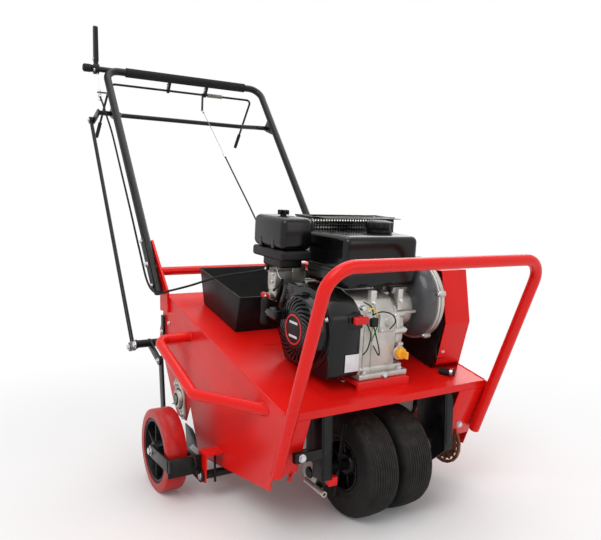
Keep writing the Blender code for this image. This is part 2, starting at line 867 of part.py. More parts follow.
def make_engine_mount(tilt):
    low, high = MOUNT_Y
    top = ENGINE_BASE - GAP
    mount = block((MOUNT_X[0], low, top - MOUNT_PLATE), (MOUNT_X[1], high, top))
    skirts = []
    for y in (low, high - MOUNT_PLATE):
        skirts.append(block((MOUNT_X[0], y, top - MOUNT_DROP), (MOUNT_X[1], y + MOUNT_PLATE, top - GAP)))
    front_bar = block(
        (-HANGER_X[0] + GAP, low + 0.002, top - MOUNT_DROP - 0.012),
        (HANGER_X[0] - GAP, low + 0.022, top - MOUNT_DROP + 0.008),
    )
    rear_bar = block(
        (-PANEL_X + PANEL_SHEET + GAP, high - 0.022, top - MOUNT_DROP - 0.012),
        (JACK_LUG_X - GAP, high - 0.002, top - MOUNT_DROP + 0.008),
    )
    fused(mount, *skirts, front_bar, rear_bar)
    finished(mount, "engine_mount", "red_paint", parent=tilt)


def make_rear_tray():
    front_y, rear_y = TRAY_FLOOR_Y
    outline = (
        (front_y, deck_z(front_y) + GAP),
        (rear_y, deck_z(rear_y) + GAP),
        *TRAY_RIM,
    )
    tray = prism("X", outline, *TRAY_X)
    hollow = inset(outline, TRAY_WALL)
    rim_lift = 2 * TRAY_WALL
    hollow = (*hollow[:2], *((y, z + rim_lift) for y, z in hollow[2:]))
    cut(tray, prism("X", hollow, TRAY_X[0] + TRAY_WALL, TRAY_X[1] - TRAY_WALL))
    finished(tray, "rear_tray", "black_plastic")


def make_belt_guard():
    front, rear = BELT_GUARD_Y
    outline = (
        (rear, deck_z(rear) + GAP),
        (front, deck_z(front) + GAP),
        *BELT_GUARD_HIGH,
    )
    inner = inset(outline, BELT_GUARD_SHEET)
    drop = 4 * BELT_GUARD_SHEET
    inner = (*((y, z - drop) for y, z in inner[:2]), *inner[2:])
    guard = prism("X", outline, *BELT_GUARD_X)
    cut(guard, prism("X", inner, BELT_GUARD_X[0] - SHEET, BELT_GUARD_X[1] - BELT_GUARD_SHEET))
    finished(guard, "belt_guard", "red_paint")


def make_handlebar():
    corners = (
        (-HANDLE_X, *HANDLE_FOOT),
        (-HANDLE_X, *HANDLE_TOP),
        (HANDLE_X, *HANDLE_TOP),
        (HANDLE_X, *HANDLE_FOOT),
    )
    handle = pipe(rounded(corners, HANDLE_BEND, 5), TUBE)
    extras = [
        rod("X", STUB_END_X, SLEEVE_ENDS[0] - 0.02, STUB_RADIUS, HANDLE_TOP),
        rod("X", STUB_END_X - END_CAP_LENGTH, STUB_END_X, END_CAP_RADIUS, HANDLE_TOP),
    ]
    ear_y, ear_z = LIFT_BAR_AXIS
    ear = (
        (handle_y(ear_z + 0.040), ear_z + 0.040),
        (handle_y(ear_z - 0.040), ear_z - 0.040),
        (ear_y - 0.004, ear_z - 0.014),
        (ear_y + 0.014, ear_z - 0.006),
        (ear_y + 0.014, ear_z + 0.008),
        (ear_y + 0.002, ear_z + 0.015),
    )
    clamp_middle = (handle_y(0.535), 0.535)
    clamp_low = (handle_y(0.478), 0.478)
    clamp_high = (handle_y(0.600), 0.600)
    for side in (-1, 1):
        extras.append(plate(ear, side * LIFT_EAR_X[0], side * LIFT_EAR_X[1]))
        outer = HANDLE_X + TUBE + HANDLE_CLAMP / 2
        extras.append(
            plate(strap(clamp_low, clamp_high, 0.011), side * (outer - HANDLE_CLAMP), side * outer)
        )
        extras.append(bar(side * (HANDLE_X - 0.002), side * (outer + 0.001), 0.008, clamp_middle, 6))
    stop_x, stop_y, stop_z = THROTTLE_ROUTE[0]
    half, thick = CABLE_STOP
    extras.append(
        block(
            (stop_x - half, stop_y - half, stop_z + 2 * GAP),
            (-HANDLE_X - TUBE / 2, stop_y + half, stop_z + 2 * GAP + thick),
        )
    )
    for x in BAIL_BRACKETS_X:
        bracket = strap(BAIL_AXIS, HANDLE_TOP, 0.009)
        extras.append(prism("X", bracket, x - BAIL_BRACKET / 2, x + BAIL_BRACKET / 2))
    bail_span = (BAIL_BRACKETS_X[0] - 0.02, BAIL_BRACKETS_X[1] + 0.02)
    fused(handle, *extras)
    cut(
        handle,
        rod("X", -0.33, 0.33, bore_for(LIFT_BAR_RADIUS), LIFT_BAR_AXIS, BORE_STEPS),
        rod("X", *bail_span, bore_for(BAIL_RADIUS), BAIL_AXIS, BORE_STEPS),
    )
    finished(handle, "handlebar", "black_paint")


def make_grip_sleeve():
    bore = (TUBE + GAP) / math.cos(math.pi / TUBE_SIDES)
    outer = bore + SLEEVE_WALL
    low, high = SLEEVE_ENDS
    profile = ((low, bore), (low, outer), (high, outer), (high, bore))
    sleeve = turned("X", profile, HANDLE_TOP, TUBE_SIDES)
    slots = []
    for x in BAIL_BRACKETS_X:
        half = BAIL_BRACKET / 2 + GAP
        slots.append(block((x - half, 0.95, 1.10), (x + half, 1.06, HANDLE_TOP[1] + 0.009)))
    cut(sleeve, *slots)
    finished(sleeve, "grip_sleeve", "rubber")


def make_front_hangers():
    rear = HANGER_Y[1]
    front = HANGER_Y[0]
    for side, name in ((-1, "front_hanger_right"), (1, "front_hanger_left")):
        inner, outer = HANGER_X
        cheek = (
            (front, HANGER_WEB_LOW_Z),
            (front, under_deck_z(front)),
            (rear, under_deck_z(rear)),
            (rear, HANGER_LOW_Z),
            (AXLE[0] - 0.028, HANGER_LOW_Z),
        )
        web = (
            (front, HANGER_WEB_LOW_Z),
            (front, under_deck_z(front)),
            (front + HANGER_SHEET, under_deck_z(front + HANGER_SHEET)),
            (front + HANGER_SHEET, HANGER_WEB_LOW_Z),
        )
        hanger = plate(cheek, side * inner, side * (inner + HANGER_SHEET))
        pieces = [
            plate(cheek, side * (outer - HANGER_SHEET), side * outer),
            plate(web, side * inner, side * outer),
            bar(side * (inner - 0.006), side * (inner + 0.001), BEARING_FLANGE, AXLE, 16),
        ]
        fused(hanger, *pieces)
        cut(hanger, bar(side * 0.14, side * 0.20, bore_for(AXLE_RADIUS), AXLE, BORE_STEPS))
        finished(hanger, name, "black_paint")


def make_reel_bearings():
    long_half = BEARING_LENGTH[0] / 2
    short_half = BEARING_LENGTH[1] / 2
    lobe = 0.014
    along = Vector((math.cos(BEARING_TILT), math.sin(BEARING_TILT))) * (long_half - lobe)
    middle = Vector(REEL)
    for side, name in ((-1, "reel_bearing_right"), (1, "reel_bearing_left")):
        inner = PANEL_X + GAP
        outline = around(middle + along, lobe, middle, short_half, 6)
        other = around(middle - along, lobe, middle, short_half, 6)
        bearing = plate(outline, side * inner, side * (inner + BEARING_PLATE))
        fused(
            bearing,
            plate(other, side * inner, side * (inner + BEARING_PLATE)),
            bar(side * (inner + 0.001), side * (inner + BEARING_DEPTH), BEARING_BOSS, REEL, 16),
        )
        cut(bearing, bar(side * 0.25, side * 0.32, bore_for(SHAFT_RADIUS), REEL, BORE_STEPS))
        finished(bearing, name, "cast_aluminium")


def cable_at_bail():
    """Where the clutch cable hooks on to the flat side of the eye of the bail's arm."""
    eye = Vector((BAIL_ARM_X, *BAIL_ARM_END))
    pull = (Vector(CLUTCH_ROUTE[0]) - eye).normalized()
    return eye + pull * (BAIL_EYE * math.cos(math.pi / 6) + 2 * GAP)


def cable_at_carburettor():
    """A place straight behind the carburettor's rear face, and one on that face."""
    _, rear, top = CARBURETTOR[1]
    x = (CARBURETTOR[0][0] + CARBURETTOR[1][0]) / 2
    return tuple((x, *from_engine(rear + GAP + reach, top - 0.040)) for reach in (0.020, 0.0))


def make_cables():
    route = (*THROTTLE_ROUTE, *cable_at_carburettor())
    throttle = pipe(smooth_route(route, 0.040), THROTTLE_CABLE, 6)
    finished(throttle, "throttle_cable", "rubber")
    anchor_y, anchor_z = cable_anchor()
    x = CLUTCH_ROUTE[-1][0]
    lower_end = ((x, anchor_y, anchor_z + 0.030), (x, anchor_y, anchor_z))
    route = (cable_at_bail(), *CLUTCH_ROUTE, *lower_end)
    clutch = pipe(smooth_route(route, 0.050), CLUTCH_CABLE, 6)
    finished(clutch, "clutch_cable", "rubber")


def make_drive_loops():
    belt = loop_round(
        output_axis(), OUTPUT_PULLEY, JACKSHAFT, JACK_PULLEY, BELT_HEIGHT, BELT_X, BELT_WIDTH
    )
    finished(belt, "drive_belt", "rubber")
    front = loop_round(
        JACKSHAFT,
        JACK_FRONT_SPROCKET_TIP,
        AXLE,
        AXLE_SPROCKET_TIP,
        CHAIN_HEIGHT,
        FRONT_CHAIN_X,
        CHAIN_WIDTH,
    )
    finished(front, "front_chain", "worn_steel")
    reel = loop_round(
        JACKSHAFT,
        JACK_REEL_SPROCKET_TIP,
        REEL,
        REEL_SPROCKET_TIP,
        CHAIN_HEIGHT,
        REEL_CHAIN_X,
        CHAIN_WIDTH,
    )
    finished(reel, "reel_chain", "worn_steel")


def make_crankcase(tilt):
    low_x, high_x = CASE_X
    base = ENGINE_BASE
    outline = (
        (CASE_FRONT, base + 0.004),
        (CASE_FRONT, 0.028),
        (-0.050, 0.066),
        (0.000, 0.080),
        (0.060, 0.070),
        (0.078, 0.020),
        (0.072, base + 0.004),
    )
    case = prism("X", outline, low_x, high_x)
    foot = block((low_x, -FOOT_Y, base), (high_x, FOOT_Y, base + FOOT_HEIGHT))
    start_y, start_z = CYLINDER_START
    barrel = block(
        (low_x + 0.012, 0, -CYLINDER_HALF), (high_x - 0.012, CYLINDER_LENGTH, CYLINDER_HALF)
    )
    cylinder = [barrel]
    for fin in range(FINS):
        y = CYLINDER_LENGTH - 0.004 - fin * 0.014
        cylinder.append(block((low_x + 0.002, y - FIN, -FIN_HALF), (high_x - 0.002, y, FIN_HALF)))
    for piece in cylinder:
        turned_by(moved(piece, (0, start_y, start_z)), CYLINDER_TILT, "X", (0, start_y, start_z))
    bosses = []
    for angle in (150, 180, 210, 240, 30):
        centre = (
            0.003 + 0.072 * math.cos(math.radians(angle)),
            -0.006 + 0.072 * math.sin(math.radians(angle)),
        )
        bosses.append(rod("X", high_x - 0.030, high_x + 0.003, 0.008, centre, 10))
    fused(case, foot, *cylinder, *bosses)
    finished(case, "crankcase", "cast_aluminium", parent=tilt)


def make_blower_housing(tilt):
    shroud = prism("X", SHROUD_OUTLINE, *SHROUD_X)
    edge = shroud.modifiers.new("rounding", "BEVEL")
    edge.width = 0.006
    edge.segments = 2
    switch_y = SHROUD_OUTLINE[0][0]
    boss = block(
        (SWITCH[0] - 0.024, switch_y - 0.002, SWITCH[1] - 0.020),
        (SHROUD_X[1], switch_y + 0.020, SWITCH[1] + 0.010),
    )
    fused(shroud, boss)
    finished(shroud, "blower_housing", "black_plastic", parent=tilt)


def recoil_slot(angle):
    """A curved slot through the face of the recoil cover."""
    inner, outer = RECOIL_DISC + 0.005, RECOIL_FACE + 0.006
    steps = 2
    edges = ([], [])
    for step in range(steps + 1):
        share = step / steps
        radius = inner + (outer - inner) * share
        for edge, offset in zip(edges, (-0.055, 0.055)):
            turn = angle + 0.55 * share + offset
            edge.append((radius * math.cos(turn), radius * math.sin(turn)))
    outline = edges[0] + edges[1][::-1]
    return prism("X", outline, RECOIL_X[0] - 0.01, RECOIL_X[0] + 0.020)


def make_recoil_cover(tilt):
    face, rim = RECOIL_X
    wall = RECOIL_WALL
    profile = (
        (rim, RECOIL_DOME - wall + 0.004),
        (rim, RECOIL_RADIUS),
        (rim - wall, RECOIL_RADIUS),
        (rim - wall - 0.001, RECOIL_DOME + 0.004),
        (face + 0.010, RECOIL_DOME),
        (face, RECOIL_FACE),
        (face, RECOIL_DISC),
        (face - 0.0015, RECOIL_DISC - 0.001),
        (face - 0.0015, 0),
        (face + wall, 0),
        (face + wall, RECOIL_FACE - 0.001),
        (face + 0.011, RECOIL_DOME - wall),
    )
    cover = turned("X", profile, steps=22)
    cut(cover, *(recoil_slot(2 * math.pi * slot / RECOIL_SLOTS) for slot in range(RECOIL_SLOTS)))
    fused(cover, block(*ROPE_GUIDE, rounding=0.003))
    finished(cover, "recoil_cover", "black_plastic", parent=tilt)


def make_tank(tilt):
    finished(block(*TANK, rounding=TANK_ROUND), "fuel_tank", "black_plastic", parent=tilt)


def make_air_cleaner(tilt):
    low, high = Vector(CLEANER[0]), Vector(CLEANER[1])
    split = low.z + CLEANER_BASE_HEIGHT
    base = block(low, (high.x, high.y, split), rounding=0.004)
    finished(base, "air_cleaner_base", "black_plastic", parent=tilt)
    cover = block((low.x - 0.002, low.y - 0.002, split + GAP), high, rounding=0.010)
    middle = ((low.x + high.x) / 2, (low.y + high.y) / 2)
    knob = rod("Z", high.z - 0.002, high.z + 0.006, 0.007, middle, 10)
    wing = block(
        (middle[0] - 0.013, middle[1] - 0.002, high.z + 0.003),
        (middle[0] + 0.013, middle[1] + 0.002, high.z + 0.014),
    )
    fused(cover, knob, wing)
    finished(cover, "air_cleaner_cover", "black_plastic", parent=tilt)


def make_carburettor(tilt):
    low, high = Vector(CARBURETTOR[0]), Vector(CARBURETTOR[1])
    body = block((low.x + 0.008, low.y, low.z + 0.030), high, rounding=0.003)
    middle = ((low.x + high.x) / 2 - 0.004, (low.y + high.y) / 2)
    bowl = rod("Z", low.z, low.z + 0.034, 0.020, middle, 16)
    flange = block(
        (high.x - 0.002, low.y + 0.004, low.z + 0.040),
        (CASE_X[0] - GAP, high.y - 0.004, MUFFLER[0][2] - SHEET),
    )
    choke_boss = rod("X", low.x, low.x + 0.010, 0.009, CHOKE, 12)
    valve_boss = rod("X", low.x, low.x + 0.020, 0.009, FUEL_VALVE, 12)
    fused(body, bowl, flange, choke_boss, valve_boss)
    finished(body, "carburettor", "cast_aluminium", parent=tilt)


def make_muffler(tilt):
    low, high = Vector(MUFFLER[0]), Vector(MUFFLER[1])
    guard = block(low, high, rounding=0.010)
    port = rod("Z", low.z - 0.070, low.z + 0.004, 0.013, (0.030, low.y + 0.022), 12)
    cylinder = block(
        (CASE_X[0], 0, -FIN_HALF - GAP), (CASE_X[1], CYLINDER_LENGTH, FIN_HALF + GAP)
    )
    start = (0, *CYLINDER_START)
    turned_by(moved(cylinder, start), CYLINDER_TILT, "X", start)
    fused(guard, port)
    cut(guard, cylinder)
    finished(guard, "muffler", "black_paint", parent=tilt)


def make_reduction_housing(tilt):
    start = CASE_X[1] + 0.0035
    neck = rod("X", start, 0.130, NECK_RADIUS, (0.004, 0.030), 14)
    ring = REDUCTION_RADIUS
    profile = (
        (0.1235, 0),
        (0.1235, ring - 0.020),
        (0.148, ring - 0.005),
        (0.150, ring + 0.001),
        (0.156, ring + 0.001),
        (0.158, ring - 0.004),
        (0.160, ring + 0.001),
        (0.168, ring + 0.001),
        (0.174, ring - 0.014),
        (0.178, 0.026),
        (0.178, 0),
    )
    drum = turned("X", profile, REDUCTION, 22)
    fused(drum, neck)
    cut(drum, rod("X", 0.150, 0.19, bore_for(SHAFT_RADIUS), REDUCTION, BORE_STEPS))
    finished(drum, "reduction_housing", "cast_aluminium", parent=tilt)


def make_output_pulley(tilt):
    profile = pulley_on_shaft(OUTPUT_SHAFT[0], OUTPUT_SHAFT[1], BELT_X, OUTPUT_PULLEY)
    pulley = turned("X", profile, REDUCTION, 16)
    finished(pulley, "output_pulley", "bare_steel", (0, *REDUCTION), tilt)


def make_engine_controls(tilt):
    low, high = ROPE_HANDLE
    grip = block(low, high, rounding=0.005)
    middle = (Vector(low) + Vector(high)) / 2
    finished(grip, "recoil_handle", "black_plastic", middle, tilt)
    top = TANK[1][2] + GAP
    neck = FUEL_CAP_RADIUS - 0.004
    cap_profile = (
        (top, 0),
        (top, neck),
        (top + 0.008, neck),
        (top + 0.009, FUEL_CAP_RADIUS),
        (top + FUEL_CAP_HEIGHT - 0.003, FUEL_CAP_RADIUS),
        (top + FUEL_CAP_HEIGHT, FUEL_CAP_RADIUS - 0.005),
        (top + FUEL_CAP_HEIGHT, 0),
    )
    cap = turned("Z", cap_profile, FUEL_CAP, 20)
    finished(cap, "fuel_cap", "black_plastic", (*FUEL_CAP, top), tilt)
    front = CASE_FRONT - GAP
    stick = rod("Y", front - 0.016, front, 0.013, DIPSTICK, 14)
    tab = block(
        (DIPSTICK[0] - 0.003, front - 0.032, DIPSTICK[1] - 0.009),
        (DIPSTICK[0] + 0.003, front - 0.010, DIPSTICK[1] + 0.009),
        rounding=0.002,
    )
    fused(stick, tab)
    finished(stick, "dipstick", "orange_plastic", (DIPSTICK[0], front, DIPSTICK[1]), tilt)
    seat = SHROUD_OUTLINE[0][0] - 0.002 - GAP
    knob = block(
        (SWITCH[0] - 0.019, seat - 0.014, SWITCH[1] - 0.009),
        (SWITCH[0] + 0.019, seat, SWITCH[1] + 0.009),
        rounding=0.004,
    )
    finished(knob, "engine_switch", "red_plastic", (SWITCH[0], seat, SWITCH[1]), tilt)
    side = CARBURETTOR[0][0] - GAP
    for name, finish, (y, z), reach in (
        ("choke_lever", "black_plastic", CHOKE, (0.0, 0.024)),
        ("fuel_valve_lever", "red_plastic", FUEL_VALVE, (0.020, 0.0)),
    ):
        lever = prism("X", strap((y, z), (y + reach[0], z + reach[1]), 0.006), side - 0.006, side)
        finished(lever, name, finish, (side, y, z), tilt)


def make_bail():
    y, z = BAIL_AXIS
    end_x, end_y, end_z = BAIL_END
    corners = ((-end_x, end_y, end_z), (-BAIL_X, y, z), (BAIL_X, y, z), (end_x, end_y, end_z))
    bail = pipe(rounded(corners, BAIL_BEND, 3), BAIL_RADIUS, 6)
    grips = []
    for side in (-1, 1):
        tip = Vector((side * end_x, end_y, end_z))
        inward = (Vector((side * BAIL_X, y, z)) - tip).normalized()
        grips.append(pipe((tip - inward * 0.004, tip + inward * BAIL_GRIP_LENGTH), BAIL_GRIP_RADIUS, 8))
    arm = prism("X", strap(BAIL_AXIS, BAIL_ARM_END, BAIL_EYE), BAIL_ARM_X - 0.002, BAIL_ARM_X + 0.002)
    spring = rod("X", BAIL_BRACKETS_X[1] + BAIL_BRACKET, 0.150, 0.008, BAIL_AXIS)
    fused(bail, *grips, arm, spring)
    finished(bail, "clutch_bail", "black_paint", (0, y, z))


def make_lift_bar():
    y, z = LIFT_BAR_AXIS
    lever_x = ROD_X + ROD_EYE / 2 + GAP
    right = lever_x + LEVER / 2
    left = LIFT_EAR_X[1] + 0.010
    corners = (
        (right, y, z),
        (-LIFT_BAR_TRUNNION_X, y, z),
        (-LIFT_BAR_X, *LIFT_BAR_RUN),
        (LIFT_BAR_X, *LIFT_BAR_RUN),
        (LIFT_BAR_TRUNNION_X, y, z),
        (left, y, z),
    )
    lift_bar = pipe(rounded(corners, LIFT_BAR_BEND, 3), LIFT_BAR_RADIUS, 8)
    end = (y + LIFT_ARM[0], z + LIFT_ARM[1])
    lever = prism("X", strap(LIFT_BAR_AXIS, end, 0.012), lever_x, lever_x + LEVER)
    pin = rod("X", ROD_X - ROD_EYE / 2 - 0.002, lever_x + 0.001, LEVER_PIN, end, 10)
    fused(lift_bar, lever, pin)
    finished(lift_bar, "lift_bar", "black_paint", (0, y, z))


def make_lift_rod():
    top = (LIFT_BAR_AXIS[0] + LIFT_ARM[0], LIFT_BAR_AXIS[1] + LIFT_ARM[1])
    bottom = (ROCKER_AXIS[0] + LIFT_ARM[0], ROCKER_AXIS[1] + LIFT_ARM[1])
    lift_rod = pipe(((ROD_X, *top), (ROD_X, *bottom)), ROD_RADIUS, 8)
    low, high = ROD_X - ROD_EYE / 2, ROD_X + ROD_EYE / 2
    ends = (top, bottom)
    fused(lift_rod, *(rod("X", low, high, ROD_EYE_RADIUS, end, BORE_STEPS) for end in ends))
    bore = bore_for(LEVER_PIN)
    cut(lift_rod, *(rod("X", low - 0.01, high + 0.01, bore, end, BORE_STEPS) for end in ends))
    finished(lift_rod, "lift_rod", "black_paint", (ROD_X, *top))


def make_rocker():
    y, z = ROCKER_AXIS
    lever_x = ROD_X - ROD_EYE / 2 - GAP
    crank_x = LINK_X + LINK + GAP
    shaft = rod("X", lever_x - LEVER, crank_x + LEVER, ROCKER_SHAFT, ROCKER_AXIS)
    end = (y + LIFT_ARM[0], z + LIFT_ARM[1])
    crank_end = (y + ROCKER_CRANK[0], z + ROCKER_CRANK[1])
    pieces = [
        prism("X", strap(ROCKER_AXIS, end, 0.013), lever_x - LEVER, lever_x),
        rod("X", lever_x - 0.001, ROD_X + ROD_EYE / 2 + 0.002, LEVER_PIN, end, 10),
    ]
    for side in (-1, 1):
        pieces.append(plate(strap(ROCKER_AXIS, crank_end, 0.013), side * crank_x, side * (crank_x + LEVER)))
        pieces.append(bar(side * (LINK_X - 0.002), side * (crank_x + 0.001), LEVER_PIN, crank_end, 10))
    fused(shaft, *pieces)
    finished(shaft, "lift_rocker", "black_paint", (0, y, z))


def make_lift_links():
    top = (ROCKER_AXIS[0] + ROCKER_CRANK[0], ROCKER_AXIS[1] + ROCKER_CRANK[1])
    for side, name in ((-1, "lift_link_right"), (1, "lift_link_left")):
        link = plate(strap(top, SWING_PIN, LINK_WIDTH / 2), side * LINK_X, side * (LINK_X + LINK))
        bore = bore_for(LEVER_PIN)
        ends = (top, SWING_PIN)
        cut(link, *(bar(side * 0.30, side * 0.33, bore, end, BORE_STEPS) for end in ends))
        finished(link, name, "black_paint", (side * LINK_X, *top))


def make_swing_frame():
    y, z = SWING_AXIS
    arm_x = PIVOT_BRACKET_X + PIVOT_BRACKET + GAP
    inner_x = WHEEL_X - WHEEL_WIDTH / 2 - FORK_GAP
    outer_x = WHEEL_X + WHEEL_WIDTH / 2 + FORK_GAP
    shaft = rod("X", -arm_x - SWING_ARM, arm_x + SWING_ARM, SWING_SHAFT, SWING_AXIS)
    half = SWING_ARM_HEIGHT / 2
    bar_y = y + 0.007
    fork_z = WHEEL_CENTRE[1]
    pieces = []
    for side in (-1, 1):
        pieces.append(plate(strap(SWING_AXIS, SWING_PIN, half), side * arm_x, side * (arm_x + SWING_ARM)))
        cross = (
            (bar_y - 0.004, z + 0.006),
            (bar_y + 0.004, z + 0.006),
            (bar_y + 0.004, fork_z + half),
            (bar_y - 0.004, fork_z + half),
        )
        pieces.append(plate(cross, side * arm_x, side * (outer_x + SWING_ARM)))
        fork = strap((bar_y, fork_z), WHEEL_CENTRE, half)
        pieces.append(plate(fork, side * (inner_x - SWING_ARM), side * inner_x))
        pieces.append(plate(fork, side * outer_x, side * (outer_x + SWING_ARM)))
        pieces.append(
            bar(side * (inner_x - SWING_ARM), side * (outer_x + SWING_ARM), WHEEL_BOLT, WHEEL_CENTRE)
        )
        head = outer_x + SWING_ARM
        pieces.append(bar(side * (head - 0.001), side * (head + 0.006), 0.009, WHEEL_CENTRE, 6))
        boss_x = LINK_X + LINK + GAP
        pieces.append(bar(side * boss_x, side * (arm_x + 0.001), LINK_BOSS, SWING_PIN, 10))
    fused(shaft, *pieces)
    finished(shaft, "swing_frame", "black_paint", (0, y, z))


def make_rear_wheels():
    half = WHEEL_WIDTH / 2
    rim = TREAD_INNER * math.cos(math.pi / TREAD_STEPS) - GAP
    shaft_bore = (WHEEL_BOLT + GAP) / math.cos(math.pi / 15)
    web = 0.006
    for side, word in ((-1, "right"), (1, "left")):
        centre_x = side * WHEEL_X
        hub_half = half + FORK_GAP - RUNNING_GAP
        profile = (
            (-hub_half, shaft_bore),
            (-hub_half, WHEEL_HUB),
            (-web, WHEEL_HUB + 0.004),
            (-web, rim - 0.009),
            (-half + 0.003, rim),
            (half - 0.003, rim),
            (web, rim - 0.009),
            (web, WHEEL_HUB + 0.004),
            (hub_half, WHEEL_HUB),
            (hub_half, shaft_bore),
        )
        wheel = turned("X", [(centre_x + x, r) for x, r in profile], WHEEL_CENTRE, 15)
        ribs = []
        for spoke in range(WHEEL_SPOKES):
            rib = block(
                (centre_x - half + 0.008, WHEEL_HUB - 0.006 + WHEEL_CENTRE[0], WHEEL_CENTRE[1] - 0.003),
                (centre_x + half - 0.008, rim - 0.003 + WHEEL_CENTRE[0], WHEEL_CENTRE[1] + 0.003),
            )
            angle = 2 * math.pi * (spoke + 0.5) / WHEEL_SPOKES
            ribs.append(turned_by(rib, angle, "X", (0, *WHEEL_CENTRE)))
        fused(wheel, *ribs)
        finished(wheel, f"rear_rim_{word}", "black_plastic", (centre_x, *WHEEL_CENTRE))
        tread = turned(
            "X",
            (
                (centre_x - half, TREAD_INNER),
                (centre_x - half, WHEEL_RADIUS - 0.004),
                (centre_x - half + 0.004, WHEEL_RADIUS),
                (centre_x + half - 0.004, WHEEL_RADIUS),
                (centre_x + half, WHEEL_RADIUS - 0.004),
                (centre_x + half, TREAD_INNER),
            ),
            WHEEL_CENTRE,
            TREAD_STEPS,
        )
        finished(tread, f"rear_tread_{word}", "red_urethane", (centre_x, *WHEEL_CENTRE))


def make_front_axle():
    axle = rod("X", *AXLE_ENDS, AXLE_RADIUS, AXLE)
    half = TYRE_WIDTH / 2 - 0.004
    pieces = []
    for side in (-1, 1):
        x = side * TYRE_X
        rim = (
            (x - half, RIM_RADIUS - RIM_WALL),
            (x - half, RIM_RADIUS),
            (x + half, RIM_RADIUS),
            (x + half, RIM_RADIUS - RIM_WALL),
            (x + 0.004, RIM_RADIUS - RIM_WALL),
            (x + 0.028, 0.022),
            (x + 0.028, 0),
            (x - 0.028, 0),
            (x - 0.028, 0.022),
            (x - 0.004, RIM_RADIUS - RIM_WALL),
        )
        pieces.append(turned("X", rim, AXLE, 16))
    pieces.append(sprocket(AXLE, FRONT_CHAIN_X, AXLE_SPROCKET_TIP, AXLE_SPROCKET_TEETH))
    fused(axle, *pieces)
    finished(axle, "front_axle", "black_paint", (0, *AXLE))


def make_front_tyres():
    half = TYRE_WIDTH / 2
    outer = TYRE_RADIUS
    bead = (RIM_RADIUS + GAP) / math.cos(math.pi / TYRE_STEPS)
    shoulder = 0.016
    profile = (
        (-half + 0.006, bead),
        (-half, RIM_RADIUS + 0.020),
        (-half, outer - shoulder),
        (-half + 0.010, outer - 0.003),
        (-half + shoulder + 0.008, outer),
        (half - shoulder - 0.008, outer),
        (half - 0.010, outer - 0.003),
        (half, outer - shoulder),
        (half, RIM_RADIUS + 0.020),
        (half - 0.006, bead),
    )
    for side, name in ((-1, "front_tyre_right"), (1, "front_tyre_left")):
        x = side * TYRE_X
        tyre = turned("X", [(x + along, radius) for along, radius in profile], AXLE, TYRE_STEPS)
        finished(tyre, name, "rubber", (x, *AXLE))


def make_jackshaft():
    profile = pulley_on_shaft(JACKSHAFT_START_X, PANEL_X + GAP, BELT_X, JACK_PULLEY)
    shaft = turned("X", profile, JACKSHAFT, 16)
    fused(
        shaft,
        sprocket(JACKSHAFT, FRONT_CHAIN_X, JACK_FRONT_SPROCKET_TIP, JACK_FRONT_TEETH),
        sprocket(JACKSHAFT, REEL_CHAIN_X, JACK_REEL_SPROCKET_TIP, JACK_REEL_TEETH),
    )
    finished(shaft, "jackshaft", "bare_steel", (0, *JACKSHAFT))


def make_idler_arm():
    x = idler_arm_x()
    pivot = Vector(idler_pivot())
    wheel = idler_rest(idler_engaged() - pivot)
    tail = idler_rest(IDLER_TAIL)
    arm = prism("X", strap(pivot, wheel, 0.010), x, x + IDLER_ARM)
    fused(
        arm,
        prism("X", strap(pivot, tail, 0.010), x, x + IDLER_ARM),
        rod("X", BELT_X - BELT_WIDTH / 2, x - 0.001, IDLER_RADIUS, wheel, 16),
        rod("X", BELT_X - BELT_WIDTH / 2, x + 0.001, 0.008, wheel, 10),
    )
    cut(arm, rod("X", x - 0.01, x + 0.01, bore_for(LEVER_PIN), pivot, BORE_STEPS))
    finished(arm, "idler_arm", "bare_steel", (x, *pivot))


def make_reel_shaft():
    shaft = rod("X", -REEL_SHAFT_END_X, REEL_SHAFT_END_X, SHAFT_RADIUS, REEL)
    fused(shaft, sprocket(REEL, REEL_CHAIN_X, REEL_SPROCKET_TIP, REEL_TEETH))
    finished(shaft, "reel_shaft", "bare_steel", (0, *REEL))


def star_outline():
    """The plate that carries the tines, with one arm for each."""
    outline = []
    for tine in range(TINES):
        middle = 2 * math.pi * tine / TINES
        for offset, radius in ((-0.10, TINE_ARM_TIP), (0.10, TINE_ARM_TIP), (0.52, TINE_ROOT)):
            angle = middle + offset
            outline.append((radius * math.cos(angle), radius * math.sin(angle)))
    return outline


def make_tine():
    """A hollow tine along +Y, its tip cut aslant and a window in its side for the cores."""
    length = TINE_TIP - TINE_START
    tine = rod("Y", 0, length, TINE_RADIUS, (0, 0), 8)
    bore = rod("Y", 0.026, length + 0.01, TINE_BORE, (0, 0), 6)
    window = block((-TINE_RADIUS * 2, 0.030, -0.003), (0, 0.050, 0.003))
    slope = block((-0.02, length - 0.002, -0.02), (0.02, length + 0.03, 0.02))
    turned_by(slope, math.radians(24), "X", (0, length - 0.002, 0))
    cut(tine, bore, window, slope)
    turned_by(tine, TINE_LEAN, "X", (0, 0, 0))
    return moved(tine, (0, TINE_START, 0))


